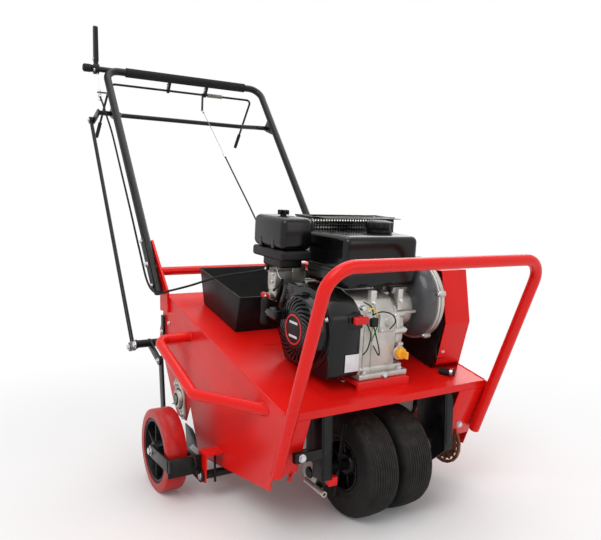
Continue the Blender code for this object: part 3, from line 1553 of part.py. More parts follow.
def make_tine_wheels():
    half = TINE_PLATE / 2
    wheel = prism("X", star_outline(), -half, half)
    pieces = [rod("X", -TINE_HUB_LENGTH / 2, TINE_HUB_LENGTH / 2, TINE_HUB, (0, 0), 12)]
    for tine in range(TINES):
        pieces.append(turned_by(make_tine(), 2 * math.pi * tine / TINES, "X", (0, 0, 0)))
    fused(wheel, *pieces)
    cut(wheel, rod("X", -0.03, 0.03, (SHAFT_RADIUS + GAP) / math.cos(math.pi / 12), (0, 0), 12))
    for number, x in enumerate(REEL_WHEELS_X, 1):
        copy = bpy.data.objects.new("copy", wheel.data.copy())
        bpy.context.scene.collection.objects.link(copy)
        finished(copy, f"tine_wheel_{number}", "bare_steel")
        copy.location = (x, *REEL)
        copy.rotation_euler = (REEL_STAGGER * (number - 1), 0, 0)
    bpy.data.objects.remove(wheel)


def make_throttle_lever():
    y, z = THROTTLE_AXIS
    low, high = THROTTLE_X
    hub = rod("X", low, high, THROTTLE_HUB, THROTTLE_AXIS, 16)
    blade = (
        (y - 0.011, z),
        (y + 0.011, z),
        (y + 0.010, z + 0.062),
        (y + 0.0075, z + 0.066),
        (y + 0.0055, THROTTLE_TOP_Z),
        (y - 0.0055, THROTTLE_TOP_Z),
        (y - 0.0075, z + 0.066),
        (y - 0.010, z + 0.062),
    )
    fused(hub, prism("X", blade, low + 0.003, high - 0.003))
    cut(hub, rod("X", low - 0.01, high + 0.01, bore_for(STUB_RADIUS), THROTTLE_AXIS, BORE_STEPS))
    finished(hub, "throttle_lever", "black_plastic", ((low + high) / 2, y, z))


def centre_on_origin():
    """Moves the whole machine so that its middle stands over the origin."""
    for obj in bpy.data.objects:
        if obj.parent is None:
            obj.location.y -= MIDDLE_Y


def main():
    for obj in list(bpy.data.objects):
        bpy.data.objects.remove(obj)
    make_finishes()
    tilt = bpy.data.objects.new("engine_tilt", None)
    bpy.context.scene.collection.objects.link(tilt)
    tilt.location = (0, *CRANK)
    tilt.rotation_euler = (ENGINE_TILT, 0, 0)
    make_deck()
    make_panels()
    make_bumper()
    make_side_guards()
    make_rear_cross_tube()
    make_rear_tray()
    make_belt_guard()
    make_handlebar()
    make_grip_sleeve()
    make_front_hangers()
    make_reel_bearings()
    make_cables()
    make_drive_loops()
    make_engine_mount(tilt)
    make_crankcase(tilt)
    make_blower_housing(tilt)
    make_recoil_cover(tilt)
    make_tank(tilt)
    make_air_cleaner(tilt)
    make_carburettor(tilt)
    make_muffler(tilt)
    make_reduction_housing(tilt)
    make_output_pulley(tilt)
    make_engine_controls(tilt)
    make_bail()
    make_lift_bar()
    make_lift_rod()
    make_rocker()
    make_lift_links()
    make_swing_frame()
    make_rear_wheels()
    make_front_axle()
    make_front_tyres()
    make_jackshaft()
    make_idler_arm()
    make_reel_shaft()
    make_tine_wheels()
    make_throttle_lever()
    centre_on_origin()


main()
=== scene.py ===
"""Looks of a walk-behind core aerator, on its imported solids. Metres, +Z up, front toward -Y.

Sides are the operator's: the right-hand side is at -X and the left-hand side at +X. Places
count Y from the front part of the frame, MIDDLE_Y ahead of the origin, and those on the
engine count from its crankshaft.
"""

import json
import math

import bmesh
import bpy
from mathutils import Matrix, Vector

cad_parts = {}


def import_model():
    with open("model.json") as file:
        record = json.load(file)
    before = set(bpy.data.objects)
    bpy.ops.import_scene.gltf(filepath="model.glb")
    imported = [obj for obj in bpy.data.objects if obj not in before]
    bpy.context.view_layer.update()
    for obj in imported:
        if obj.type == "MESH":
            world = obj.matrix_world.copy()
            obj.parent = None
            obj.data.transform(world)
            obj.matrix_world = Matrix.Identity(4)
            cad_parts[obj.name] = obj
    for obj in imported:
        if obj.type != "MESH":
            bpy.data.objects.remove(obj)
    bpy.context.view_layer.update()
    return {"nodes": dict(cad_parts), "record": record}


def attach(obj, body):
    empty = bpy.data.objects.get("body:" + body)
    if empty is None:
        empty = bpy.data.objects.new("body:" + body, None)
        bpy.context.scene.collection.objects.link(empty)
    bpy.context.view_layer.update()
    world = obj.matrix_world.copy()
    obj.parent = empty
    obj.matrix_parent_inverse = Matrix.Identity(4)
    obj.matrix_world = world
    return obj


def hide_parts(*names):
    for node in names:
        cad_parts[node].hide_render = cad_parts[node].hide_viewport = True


MIDDLE_Y = 0.4255
CRANK = (-0.064, 0.425)
ENGINE_TILT = math.radians(5)
GAP = 0.0003
WASHER = 0.0012
SIDES = ((-1, "right"), (1, "left"))

# Camera
CAMERA_PLACE = (-0.8812, -1.2172, 0.6546)
CAMERA_HEADING = math.radians(31.7243)
CAMERA_PITCH = math.radians(4.2451)
CAMERA_ROLL = math.radians(-0.2935)
CAMERA_LENS = 37.554

# Frame
TUBE = 0.0125
PANEL_X = 0.278
DECK_FRONT = (-0.19, 0.282)
DECK_SLOPE = 0.2537
BUMPER_X = 0.279
BUMPER_FOOT = (-0.157, 0.152)
BUMPER_TOP = (-0.339, 0.58)
GUARD_X = 0.365
GUARD_REAR = (0.302, 0.36)
GUARD_KINK = (0.065, 0.277)
GUARD_FRONT = (-0.141, 0.27)
GUARD_FOOT = (-0.095, 0.2716)
HANDLE_X = 0.2975
HANDLE_FOOT = (0.485, 0.457)
HANDLE_TOP = (1.008, 1.177)
CLAMP_Z = (0.478, 0.6)
CLAMP_X = HANDLE_X + TUBE + 0.002
SLEEVE_ENDS = (-0.228, 0.232)
BELT_GUARD_HOLE = (-0.061789, 0.473804)
STUB_END_X = -0.345

# Controls on the handlebar
THROTTLE_X = (-0.338, -0.321)
THROTTLE_TOP_Z = 1.32
BAIL_AXIS = (1.035, 1.138)
BAIL_X = 0.275
BAIL_END = (0.285, 1.195, 0.975)
BAIL_BRACKETS_X = (-0.065, 0.08)
BAIL_ARM_X = 0.071
BAIL_ARM_END = (1.04, 1.083)
LIFT_BAR_AXIS = (0.945, 1.02)
LIFT_BAR_RUN = (1.08, 1.04)
LIFT_BAR_EYE = (1.006, 1.002)
ROCKER_AXIS = (0.5, 0.315)
ROCKER_EYE = (0.561, 0.297)
ROD_X = -0.35
ROD_EYE = 0.0126
LINK_TOP = (0.42, 0.28)
LINK_X = (0.3125, 0.3185)
LEVER_SHEET = 0.005

# Wheels and axle
SWING_AXIS = (0.115, 0.066)
SWING_PIN = (0.4, 0.085)
SWING_ARM_X = (0.3248, 0.3308)
FORK_SHEET = 0.006
WHEEL_CENTRE = (0.242, 0.1)
WHEEL_RADIUS = 0.1
WHEEL_X = 0.373
WHEEL_WIDTH = 0.05
TREAD_INNER = 0.078
AXLE = (-0.106, 0.118)
TYRE_RADIUS = 0.118
TYRE_WIDTH = 0.084
TYRE_X = 0.048
RIM_RADIUS = 0.0575
REEL = (0.363, 0.183)

# Channels that hang the front axle under the deck
HANGER_X = (0.159, 0.185)
HANGER_Y = (-0.178, -0.082)
HANGER_FOOT_Z = 0.125
DECK_SHEET = 0.0035

# Sheet that fills the deck's opening round the engine mount
FILL_X = (-0.1598, 0.1598)
FILL_Y = (-0.1648, -0.1012, 0.1118)
MOUNT_X = (-0.0785, 0.068)

# Rear tray on the deck
TRAY_X = (-0.2, 0.12)
TRAY_FLOOR_Y = (0.196, 0.395)
TRAY_RIM = ((0.42, 0.527), (0.168, 0.47))
TRAY_WALL = 0.0025

# Engine
CASE_X = (-0.065, 0.07)
COVER_MIDDLE = (0.003, -0.006)
COVER_BOLTS = (150, 180, 210, 240, 300, 30, 90)
CYLINDER_START = (0.03, -0.015)
CYLINDER_TILT = math.radians(15)
SHROUD_FRONT = -0.088
SHROUD_OUTLINE = (
    (SHROUD_FRONT, -0.094),
    (SHROUD_FRONT, 0.045),
    (-0.055, 0.072),
    (-0.01, 0.086),
    (0.09, 0.0885),
    (0.143, 0.066),
    (0.143, -0.015),
    (0.092, -0.094),
)
RECOIL_RADIUS = 0.092
RECOIL_DISC = 0.0367
RECOIL_X = (-0.1855, -0.1503)
TANK = ((-0.089, -0.045, 0.089), (0.121, 0.122, 0.206))
FUEL_CAP = (0.072, 0.05)
CLEANER = ((-0.19, 0.055, 0.14), (-0.11, 0.2, 0.237))
MUFFLER = ((-0.07, 0.128, 0.122), (0.185, 0.208, 0.236))
REDUCTION = (0.0065, 0.049)
REDUCTION_RADIUS = 0.097
DRUM_NECK = (0.004, 0.03)
SWITCH = (-0.078, 0.033)
DIPSTICK = (0.052, -0.056)
CHOKE = (0.17, 0.108)
FUEL_VALVE = (0.165, 0.042)

THROTTLE_ROUTE = (
    (-0.33, 0.962, 1.088),
    (-0.33, 0.961, 1.078),
    (-0.329, 0.93, 1.048),
    (-0.323, 0.902, 1.0),
    (-0.318, 0.86, 0.94),
    (-0.318, 0.772, 0.823),
    (-0.318, 0.673, 0.69),
    (-0.318, 0.59, 0.574),
    (-0.318, 0.52, 0.486),
    (-0.312, 0.46, 0.46),
    (-0.29, 0.427, 0.468),
    (-0.25, 0.37, 0.486),
    (-0.2, 0.285, 0.515),
    (-0.15, 0.21, 0.53),
    (-0.13, 0.139, 0.543),
    (-0.13, 0.119, 0.5413),
)
CLUTCH_ROUTE = (
    (0.0707, 1.0355, 1.0794),
    (0.0366, 0.6, 0.729),
    (0.025, 0.43, 0.595),
    (0.045, 0.32, 0.545),
    (0.1, 0.26, 0.53),
    (0.165, 0.205, 0.515),
    (0.2, 0.16, 0.48),
    (0.2, 0.1559, 0.4484),
    (0.2, 0.1559, 0.4184),
)

PLACES = {
    "X": lambda along, a, b: Vector((along, a, b)),
    "Y": lambda along, a, b: Vector((a, along, b)),
    "Z": lambda along, a, b: Vector((a, b, along)),
}
ENGINE = Matrix.Translation((0, *CRANK)) @ Matrix.Rotation(ENGINE_TILT, 4, "X")
materials = {}


def polar(centre, radius, angle):
    """A point at a distance from a centre and an angle in radians."""
    return centre[0] + radius * math.cos(angle), centre[1] + radius * math.sin(angle)


def on_circle(centre, radius, degrees):
    """Points round a circle at angles in degrees."""
    return [polar(centre, radius, math.radians(angle)) for angle in degrees]


def mirrored(profile):
    """Half a profile completed by its mirror image."""
    return [*profile, *((-along, radius) for along, radius in reversed(profile))]


def shifted(profile, start, way=1):
    """A profile counted from its start, toward +X or, with way -1, toward -X."""
    return [(start + way * along, radius) for along, radius in profile]


def deck_z(y):
    return DECK_FRONT[1] + DECK_SLOPE * (y - DECK_FRONT[0])


def handle_y(z):
    share = (z - HANDLE_FOOT[1]) / (HANDLE_TOP[1] - HANDLE_FOOT[1])
    return HANDLE_FOOT[0] + share * (HANDLE_TOP[0] - HANDLE_FOOT[0])


def panel_front_y(z):
    """Front edge of a side panel, just behind the bumper's leg."""
    rise = BUMPER_TOP[1] - BUMPER_FOOT[1]
    run = BUMPER_TOP[0] - BUMPER_FOOT[0]
    return BUMPER_FOOT[0] + (z - BUMPER_FOOT[1]) * run / rise + (TUBE + GAP) * math.hypot(run, rise) / rise


def block(first, second, rounding=0.001, segments=3):
    """A box between two opposite corners with rounded edges."""
    first, second = Vector(first), Vector(second)
    size = [abs(value) for value in second - first]
    bm = bmesh.new()
    matrix = Matrix.Translation((first + second) / 2) @ Matrix.Diagonal((*size, 1))
    bmesh.ops.create_cube(bm, size=1, matrix=matrix)
    bmesh.ops.bevel(bm, geom=bm.edges[:], offset=rounding, segments=segments, profile=0.5, affect="EDGES")
    return bm


def prism(axis, outline, start, end, rounding=0.0006):
    """An outline in the plane across the axis, drawn out along it, its edges softened."""
    place = PLACES[axis]
    bm = bmesh.new()
    face = bm.faces.new([bm.verts.new(place(start, *point)) for point in outline])
    grown = bmesh.ops.extrude_face_region(bm, geom=[face])
    moved = [item for item in grown["geom"] if isinstance(item, bmesh.types.BMVert)]
    bmesh.ops.translate(bm, verts=moved, vec=place(end - start, 0, 0))
    if rounding:
        sharp = [edge for edge in bm.edges if edge.calc_face_angle(0) > math.radians(20)]
        bmesh.ops.bevel(bm, geom=sharp, offset=rounding, segments=2, profile=0.5, affect="EDGES")
    bmesh.ops.recalc_face_normals(bm, faces=bm.faces)
    return bm


def turned(axis, profile, centre=(0.0, 0.0), steps=64):
    """A closed profile of (distance along the axis, radius) turned about the axis."""
    place = PLACES[axis]
    bm = bmesh.new()
    rings = []
    for along, radius in profile:
        angles = [2 * math.pi * step / steps for step in range(steps if radius else 1)]
        rings.append([bm.verts.new(place(along, *polar(centre, radius, angle))) for angle in angles])
    for first, second in zip(rings, rings[1:] + rings[:1]):
        if len(first) == 1 and len(second) == 1:
            continue
        for step in range(steps):
            corners = (
                first[step % len(first)],
                first[(step + 1) % len(first)],
                second[(step + 1) % len(second)],
                second[step % len(second)],
            )
            bm.faces.new(list(dict.fromkeys(corners)))
    bmesh.ops.recalc_face_normals(bm, faces=bm.faces)
    return bm


def rod(axis, start, end, radius, centre, steps=32, rounding=0.0006):
    """A round bar along an axis with softened rims."""
    low, high = min(start, end), max(start, end)
    r = min(rounding, radius / 3)
    profile = [(low, 0), (low, radius - r), (low + r, radius)]
    profile += [(high - r, radius), (high, radius - r), (high, 0)]
    return turned(axis, profile, centre, steps)


def around(first, first_radius, second, second_radius, steps=18):
    """A closed outline drawn tight round two circles."""
    apart = Vector(second) - Vector(first)
    along = apart.normalized()
    across = Vector((-along.y, along.x))
    lean = (first_radius - second_radius) / apart.length
    rise = math.sqrt(1 - lean**2)
    upper, lower = along * lean + across * rise, along * lean - across * rise
    start = math.atan2(upper.y, upper.x)
    turn = (math.atan2(lower.y, lower.x) - start) % (2 * math.pi)
    outline = [polar(first, first_radius, start + turn * step / steps) for step in range(steps + 1)]
    start += turn
    turn = 2 * math.pi - turn
    return outline + [polar(second, second_radius, start + turn * step / steps) for step in range(steps + 1)]


def strap(start, end, half):
    """The outline of a flat bar with round ends, from one centre to the other."""
    return around(end, half, start, half, 10)


def rounded(points, radius, steps=10):
    """A route with each inner corner replaced by an arc."""
    points = [Vector(point) for point in points]
    route = [points[0]]
    for before, corner, after in zip(points, points[1:], points[2:]):
        back = (before - corner).normalized()
        onward = (after - corner).normalized()
        half = back.angle(onward) / 2
        centre = corner + (back + onward).normalized() * radius / math.sin(half)
        start = corner + back * radius / math.tan(half) - centre
        end = corner + onward * radius / math.tan(half) - centre
        turn = math.pi - 2 * half
        for step in range(steps + 1):
            share = step / steps
            first = start * math.sin((1 - share) * turn)
            second = end * math.sin(share * turn)
            route.append(centre + (first + second) / math.sin(turn))
    return route + [points[-1]]


def smooth_route(points, spacing):
    """Points read from a smooth curve through a cable's own points."""
    points = [Vector(point) for point in points]
    padded = [2 * points[0] - points[1], *points, 2 * points[-1] - points[-2]]
    route = []
    for p0, p1, p2, p3 in zip(padded, padded[1:], padded[2:], padded[3:]):
        steps = max(1, round((p2 - p1).length / spacing))
        for step in range(steps):
            t = step / steps
            cubic = 3 * p1 - p0 - 3 * p2 + p3
            square = 2 * p0 - 5 * p1 + 4 * p2 - p3
            route.append(0.5 * (2 * p1 + (p2 - p0) * t + square * t**2 + cubic * t**3))
    return route + [points[-1]]


def pipe(points, radius, sides=24):
    """A round tube along a route with closed ends."""
    points = [Vector(point) for point in points]
    bm = bmesh.new()
    across = (points[1] - points[0]).normalized().orthogonal().normalized()
    rings = []
    for index, point in enumerate(points):
        before = points[max(index - 1, 0)]
        after = points[min(index + 1, len(points) - 1)]
        along = (after - before).normalized()
        across = (across - along * across.dot(along)).normalized()
        third = along.cross(across)
        offsets = [polar((0, 0), radius, 2 * math.pi * side / sides) for side in range(sides)]
        rings.append([bm.verts.new(point + across * a + third * b) for a, b in offsets])
    for first, second in zip(rings, rings[1:]):
        for side in range(sides):
            after = (side + 1) % sides
            bm.faces.new((first[side], first[after], second[after], second[side]))
    for ring in (rings[0], rings[-1]):
        bm.faces.new(ring)
    bmesh.ops.recalc_face_normals(bm, faces=bm.faces)
    return bm


def helix(axis, span, radius, wire, centre, turns):
    """A coil of wire round an axis."""
    steps = 14
    low, high = span
    route = []
    for step in range(turns * steps + 1):
        along = low + (high - low) * step / (turns * steps)
        route.append(PLACES[axis](along, *polar(centre, radius, 2 * math.pi * step / steps)))
    return pipe(route, wire, 8)


def bolts(axis, seat, height, size, *centres):
    """Hexagon heads that stand from their seat, each on a washer."""
    face = seat + math.copysign(WASHER, height)
    parts = []
    for centre in centres:
        parts.append(rod(axis, seat, face, size * 1.25, centre, 28, 0.0003))
        parts.append(rod(axis, face, seat + height, size, centre, 6, 0.0007))
    return parts


def spun(bm, degrees, axis, centre):
    centre = Matrix.Translation(centre)
    bm.transform(centre @ Matrix.Rotation(math.radians(degrees), 4, axis) @ centre.inverted())
    return bm


def joined(parts):
    whole = bmesh.new()
    for part in parts:
        mesh = bpy.data.meshes.new("part")
        part.to_mesh(mesh)
        part.free()
        whole.from_mesh(mesh)
        bpy.data.meshes.remove(mesh)
    return whole


def mesh_object(name, bm):
    mesh = bpy.data.meshes.new(name)
    bm.to_mesh(mesh)
    bm.free()
    obj = bpy.data.objects.new(name, mesh)
    bpy.context.scene.collection.objects.link(obj)
    return obj


def cut_out(bm, tools):
    """The shape with others, which don't touch one another, cut from it."""
    base, tool = mesh_object("shape", bm), mesh_object("shape", joined(tools))
    step = base.modifiers.new("cut", "BOOLEAN")
    step.operation = "DIFFERENCE"
    step.object = tool
    graph = bpy.context.evaluated_depsgraph_get()
    mesh = bpy.data.meshes.new_from_object(base.evaluated_get(graph))
    out = bmesh.new()
    out.from_mesh(mesh)
    for obj in (base, tool):
        bpy.data.objects.remove(obj)
    return out


def perforated(width, height, columns, rows, hole, thick):
    """A sheet in the plane of X and Z with rows of round holes, its corner at the origin."""
    bm = bmesh.new()
    cell_x, cell_z = width / columns, height / rows
    corners = ((1, 0), (1, 1), (0, 1), (-1, 1), (-1, 0), (-1, -1), (0, -1), (1, -1))
    for column in range(columns):
        for row in range(rows):
            x, z = (column + 0.5) * cell_x, (row + 0.5) * cell_z
            inner = [bm.verts.new((a, 0, b)) for a, b in on_circle((x, z), hole, range(0, 360, 45))]
            outer = [bm.verts.new((x + a * cell_x / 2, 0, z + b * cell_z / 2)) for a, b in corners]
            for step in range(8):
                after = (step + 1) % 8
                bm.faces.new((outer[step], outer[after], inner[after], inner[step]))
    bmesh.ops.remove_doubles(bm, verts=bm.verts[:], dist=cell_x / 20)
    bmesh.ops.recalc_face_normals(bm, faces=bm.faces)
    bmesh.ops.solidify(bm, geom=bm.faces[:], thickness=thick)
    return bm


def piece(name, parts, finish, body="chassis", replaces=None, engine=False, angle=38):
    """Joins shapes into one piece, puts it in its place and lets it ride on its body."""
    whole = joined(parts)
    shift = Matrix.Translation((0, -MIDDLE_Y, 0))
    whole.transform(shift @ ENGINE if engine else shift)
    obj = mesh_object(name, whole)
    obj.data.materials.append(materials[finish])
    obj.data.shade_smooth()
    obj.data.set_sharp_from_angle(angle=math.radians(angle))
    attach(obj, body)
    if replaces:
        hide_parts(replaces)


def linear(red, green, blue):
    """Colour values of the screen, 0 to 255, as linear ones."""
    values = []
    for value in (red, green, blue):
        value /= 255
        values.append(value / 12.92 if value <= 0.04045 else ((value + 0.055) / 1.055) ** 2.4)
    return (*values, 1.0)


# Finish: screen colour, roughness, metallic, coat, mottling, its scale, grain, its scale,
# edge wear, colour of the worn edge, dust
FINISHES = {
    "red_paint": ((222, 18, 13), 0.32, 0.0, 0.1, 0.03, 5, 0.03, 420, 0.1, (120, 18, 14), 0.02),
    "black_paint": ((10, 10, 11), 0.34, 0.0, 0.05, 0.2, 20, 0.08, 900, 0.1, (80, 78, 76), 0.025),
    "black_plastic": ((12, 12, 13), 0.4, 0.0, 0.0, 0.15, 18, 0.12, 1400, 0.1, (60, 60, 62), 0.025),
    "gloss_black": ((7, 7, 8), 0.16, 0.0, 0.15, 0.1, 12, 0.03, 500, 0.1, (50, 50, 52), 0.015),
    "cast_aluminium": ((186, 184, 178), 0.46, 0.85, 0.0, 0.14, 30, 0.3, 900, 0.25, (220, 218, 212), 0.08),
    "bare_steel": ((150, 146, 140), 0.34, 1.0, 0.0, 0.16, 30, 0.08, 1500, 0.2, (200, 198, 195), 0.08),
    "bright_steel": ((200, 200, 202), 0.24, 1.0, 0.0, 0.1, 40, 0.05, 2000, 0.1, (230, 230, 230), 0.03),
    "worn_steel": ((122, 70, 44), 0.65, 0.35, 0.0, 0.45, 60, 0.35, 1200, 0.3, (170, 150, 130), 0.15),
    # The next finish, for the tines, is worn dark steel whose near-black colour is partly painted shade for
    # the shadow under the deck
    "soil_steel": ((40, 38, 36), 0.55, 0.6, 0.0, 0.35, 40, 0.25, 1100, 0.4, (120, 116, 110), 0.1),
    "rubber": ((18, 17, 17), 0.66, 0.0, 0.0, 0.15, 25, 0.15, 1600, 0.1, (56, 54, 52), 0.05),
    "foam": ((24, 24, 26), 0.85, 0.0, 0.0, 0.15, 30, 0.55, 1300, 0.1, (64, 64, 66), 0.04),
    "tyre": ((21, 20, 20), 0.66, 0.0, 0.0, 0.25, 16, 0.22, 900, 0.3, (74, 68, 62), 0.12),
    "red_urethane": ((176, 20, 20), 0.38, 0.0, 0.15, 0.1, 22, 0.06, 700, 0.2, (200, 70, 64), 0.06),
    "red_plastic": ((205, 26, 24), 0.35, 0.0, 0.2, 0.06, 30, 0.05, 900, 0.15, (230, 120, 110), 0.05),
    "orange_plastic": ((244, 170, 44), 0.4, 0.0, 0.1, 0.06, 40, 0.05, 900, 0.1, (250, 210, 130), 0.05),
    # The next finish, for the drum's cone, is a dark grey that is painted shade on the inner face of the
    # aluminium reduction case
    "drum_cone_painted_shade": ((66, 67, 70), 0.34, 0.0, 0.3, 0.1, 16, 0.05, 500, 0.25, (120, 120, 122), 0.08),
    "white_plate": ((216, 218, 220), 0.4, 0.0, 0.1, 0.05, 60, 0.03, 900, 0.0, (200, 200, 200), 0.05),
    "yellow_wire": ((222, 200, 40), 0.45, 0.0, 0.0, 0.06, 60, 0.03, 900, 0.0, (200, 200, 200), 0.05),
    "green_wire": ((30, 140, 80), 0.45, 0.0, 0.0, 0.06, 60, 0.03, 900, 0.0, (200, 200, 200), 0.05),
}
DUST = (150, 132, 112)
SHINE = 0.22


def add_node(tree, kind, inputs=(), **settings):
    """A shader node whose inputs are given values or linked to other nodes' sockets."""
    node = tree.nodes.new("ShaderNode" + kind)
    for key, value in settings.items():
        setattr(node, key, value)
    set_inputs(tree, node, inputs)
    return node


def set_inputs(tree, node, inputs):
    for key, value in dict(inputs).items():
        if isinstance(value, bpy.types.NodeSocket):
            tree.links.new(value, node.inputs[key])
        else:
            node.inputs[key].default_value = value


def make_finish(name):
    """A surface with mottled colour, fine grain, worn edges and dust on what faces up."""
    colour, rough, metallic, coat, mottle, mottle_scale, grain, grain_scale, wear, worn, dust = FINISHES[name]
    material = bpy.data.materials.new(name)
    material.use_nodes = True
    tree = material.node_tree
    place = add_node(tree, "TexCoord").outputs["Object"]

    def noise(scale, detail, roughness=0.55):
        inputs = {"Vector": place, "Scale": scale, "Detail": detail, "Roughness": roughness}
        return add_node(tree, "TexNoise", inputs).outputs["Fac"]

    def ranged(value, low, high, to_low, to_high):
        inputs = {"Value": value, "From Min": low, "From Max": high, "To Min": to_low, "To Max": to_high}
        return add_node(tree, "MapRange", inputs).outputs["Result"]

    def combined(operation, first, second):
        return add_node(tree, "Math", {0: first, 1: second}, operation=operation).outputs["Value"]

    def mixed(share, first, second):
        inputs = {"Factor": share, "A": first, "B": second}
        return add_node(tree, "Mix", inputs, data_type="RGBA").outputs["Result"]

    base = linear(*colour)
    darker = (*(value * (1 - mottle) for value in base[:3]), 1.0)
    lighter = (*(min(1.0, value * (1 + mottle) + 0.02 * mottle) for value in base[:3]), 1.0)
    clouds = noise(mottle_scale, 6)
    patches = noise(mottle_scale * 3, 8, 0.7)
    geometry = add_node(tree, "NewGeometry").outputs
    edges = ranged(geometry["Pointiness"], 0.53, 0.6, 0, 1)
    edges = combined("MULTIPLY", edges, ranged(patches, 0.45, 0.62, 0, wear))
    up = ranged(add_node(tree, "SeparateXYZ", {0: geometry["Normal"]}).outputs["Z"], 0.2, 1.0, 0.25, 1)
    settled = combined("MULTIPLY", up, ranged(patches, 0.42, 0.7, 0, dust))
    result = mixed(ranged(clouds, 0.35, 0.65, 0, 1), darker, lighter)
    result = mixed(edges, result, linear(*worn))
    result = mixed(settled, result, linear(*DUST))
    uneven = ranged(clouds, 0.3, 0.7, rough - 0.07, rough + 0.09)
    soft_edge = add_node(tree, "Bevel", {"Radius": 0.0012}, samples=3).outputs["Normal"]
    relief = {"Strength": grain, "Distance": 0.0008, "Height": noise(grain_scale, 3), "Normal": soft_edge}
    surface = {
        "Base Color": result,
        "Metallic": metallic,
        "Roughness": combined("ADD", uneven, ranged(settled, 0, 1, 0, 0.6)),
        "Specular IOR Level": SHINE,
        "Coat Weight": coat,
        "Coat Roughness": 0.12,
        "Normal": add_node(tree, "Bump", relief).outputs["Normal"],
    }
    set_inputs(tree, tree.nodes["Principled BSDF"], surface)
    materials[name] = material


def dress_solids(frame):
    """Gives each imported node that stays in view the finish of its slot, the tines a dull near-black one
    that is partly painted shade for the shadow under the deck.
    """
    for subpart in frame["record"]["subparts"]:
        node = frame["nodes"][subpart["node"]]
        # The tines get near-black steel that is partly painted shade for the shadow under the deck.
        finish = "soil_steel" if "tine" in subpart["node"] else subpart["material_slot"]
        node.data.materials.clear()
        node.data.materials.append(materials[finish])


def hoop(x, foot, top, bend):
    """A tube up one side, across the top and down the other."""
    corners = ((-x, *foot), (-x, *top), (x, *top), (x, *foot))
    return pipe(rounded(corners, bend, 14), TUBE, 32)


def make_hoops():
    bumper = hoop(BUMPER_X, BUMPER_FOOT, BUMPER_TOP, 0.055)
    piece("bumper_tube", [bumper], "red_paint", replaces="bumper")
    inside = PANEL_X - 2 * TUBE
    for side, word in SIDES:
        corners = (
            (side * inside, *GUARD_REAR),
            (side * GUARD_X, *GUARD_REAR),
            (side * GUARD_X, *GUARD_KINK),
            (side * inside, *GUARD_FRONT),
        )
        guard = pipe(rounded(corners, 0.03, 12), TUBE, 32)
        bmesh.ops.bisect_plane(
            guard,
            geom=guard.verts[:] + guard.edges[:] + guard.faces[:],
            plane_co=(side * (PANEL_X + GAP), 0, 0),
            plane_no=(side, 0, 0),
            clear_inner=True,
        )
        piece(f"side_guard_tube_{word}", [guard], "red_paint", replaces=f"side_guard_{word}")


def make_handlebar():
    """The bent tube with its stub, clamp straps, cable stop, and ears for what turns on it."""
    parts = [hoop(HANDLE_X, HANDLE_FOOT, HANDLE_TOP, 0.045)]
    parts.append(rod("X", STUB_END_X, -0.248, 0.0095, HANDLE_TOP))
    ear_y, ear_z = LIFT_BAR_AXIS
    ear = [(handle_y(z), z) for z in (ear_z + 0.04, ear_z - 0.04)]
    ear += [(ear_y - 0.004, ear_z - 0.014), (ear_y + 0.014, ear_z - 0.006)]
    ear += [(ear_y + 0.014, ear_z + 0.008), (ear_y + 0.002, ear_z + 0.015)]
    clamp = strap(*((handle_y(z), z) for z in CLAMP_Z), 0.011)
    for side in (-1, 1):
        parts.append(prism("X", ear, side * 0.2945, side * 0.3005))
        parts.append(prism("X", clamp, side * (CLAMP_X - 0.004), side * CLAMP_X))
    x, y, z = THROTTLE_ROUTE[0]
    z += 2 * GAP
    parts.append(block((x - 0.008, y - 0.008, z), (-HANDLE_X - TUBE / 2, y + 0.008, z + 0.003), 0.0006))
    for x in BAIL_BRACKETS_X:
        parts.append(prism("X", strap(BAIL_AXIS, HANDLE_TOP, 0.009), x - 0.004, x + 0.004, 0.001))
    piece("handlebar_tube", parts, "black_paint", replaces="handlebar")


def make_handlebar_trim():
    heads = []
    for side in (-1, 1):
        heads += bolts("X", side * CLAMP_X, side * 0.006, 0.0075, (handle_y(0.535), 0.535))
        heads += bolts("X", side * CLAMP_X, side * 0.005, 0.0055, *((handle_y(z), z) for z in CLAMP_Z))
    for x in BAIL_BRACKETS_X:
        heads += bolts("X", x - 0.004, -0.0045, 0.0045, (BAIL_AXIS[0] - 0.012, BAIL_AXIS[1] + 0.018))
    piece("handlebar_bolts", heads, "bright_steel")
    cap = [
        rod("X", STUB_END_X - 0.028, STUB_END_X, 0.0135, HANDLE_TOP, 36, 0.004),
        rod("X", STUB_END_X - 0.001, STUB_END_X + 0.003, 0.0125, HANDLE_TOP, 36, 0.001),
    ]
    piece("handlebar_end_cap", cap, "rubber")
    bore = (TUBE + GAP) / math.cos(math.pi / 10)
    outer = bore + 0.0025
    low, high = SLEEVE_ENDS
    profile = [(low, bore), (low, outer - 0.0012), (low + 0.0012, outer)]
    profile += [(high - 0.0012, outer), (high, outer - 0.0012), (high, bore)]
    piece("foam_sleeve", [turned("X", profile, HANDLE_TOP, 40)], "foam", replaces="grip_sleeve")


def make_bail():
    end_x, end_y, end_z = BAIL_END
    corners = ((-end_x, end_y, end_z), (-BAIL_X, *BAIL_AXIS), (BAIL_X, *BAIL_AXIS), BAIL_END)
    arm = prism("X", strap(BAIL_AXIS, BAIL_ARM_END, 0.006), BAIL_ARM_X - 0.002, BAIL_ARM_X + 0.002)
    parts = [pipe(rounded(corners, 0.02, 12), 0.004, 20), arm]
    piece("bail_rod", parts, "black_paint", "clutch_bail", replaces="clutch_bail")
    grips = []
    for side in (-1, 1):
        tip = Vector((side * end_x, end_y, end_z))
        inward = (Vector((side * BAIL_X, *BAIL_AXIS)) - tip).normalized()
        for start, end, radius in ((0.0, 0.06, 0.0065), (-0.004, 0.001, 0.006)):
            grips.append(pipe((tip + inward * start, tip + inward * end), radius, 20))
    piece("bail_grips", grips, "rubber", "clutch_bail")
    coil = helix("X", (0.089, 0.15), 0.0066, 0.0013, BAIL_AXIS, 16)
    piece("bail_spring", [coil], "bare_steel", "clutch_bail")


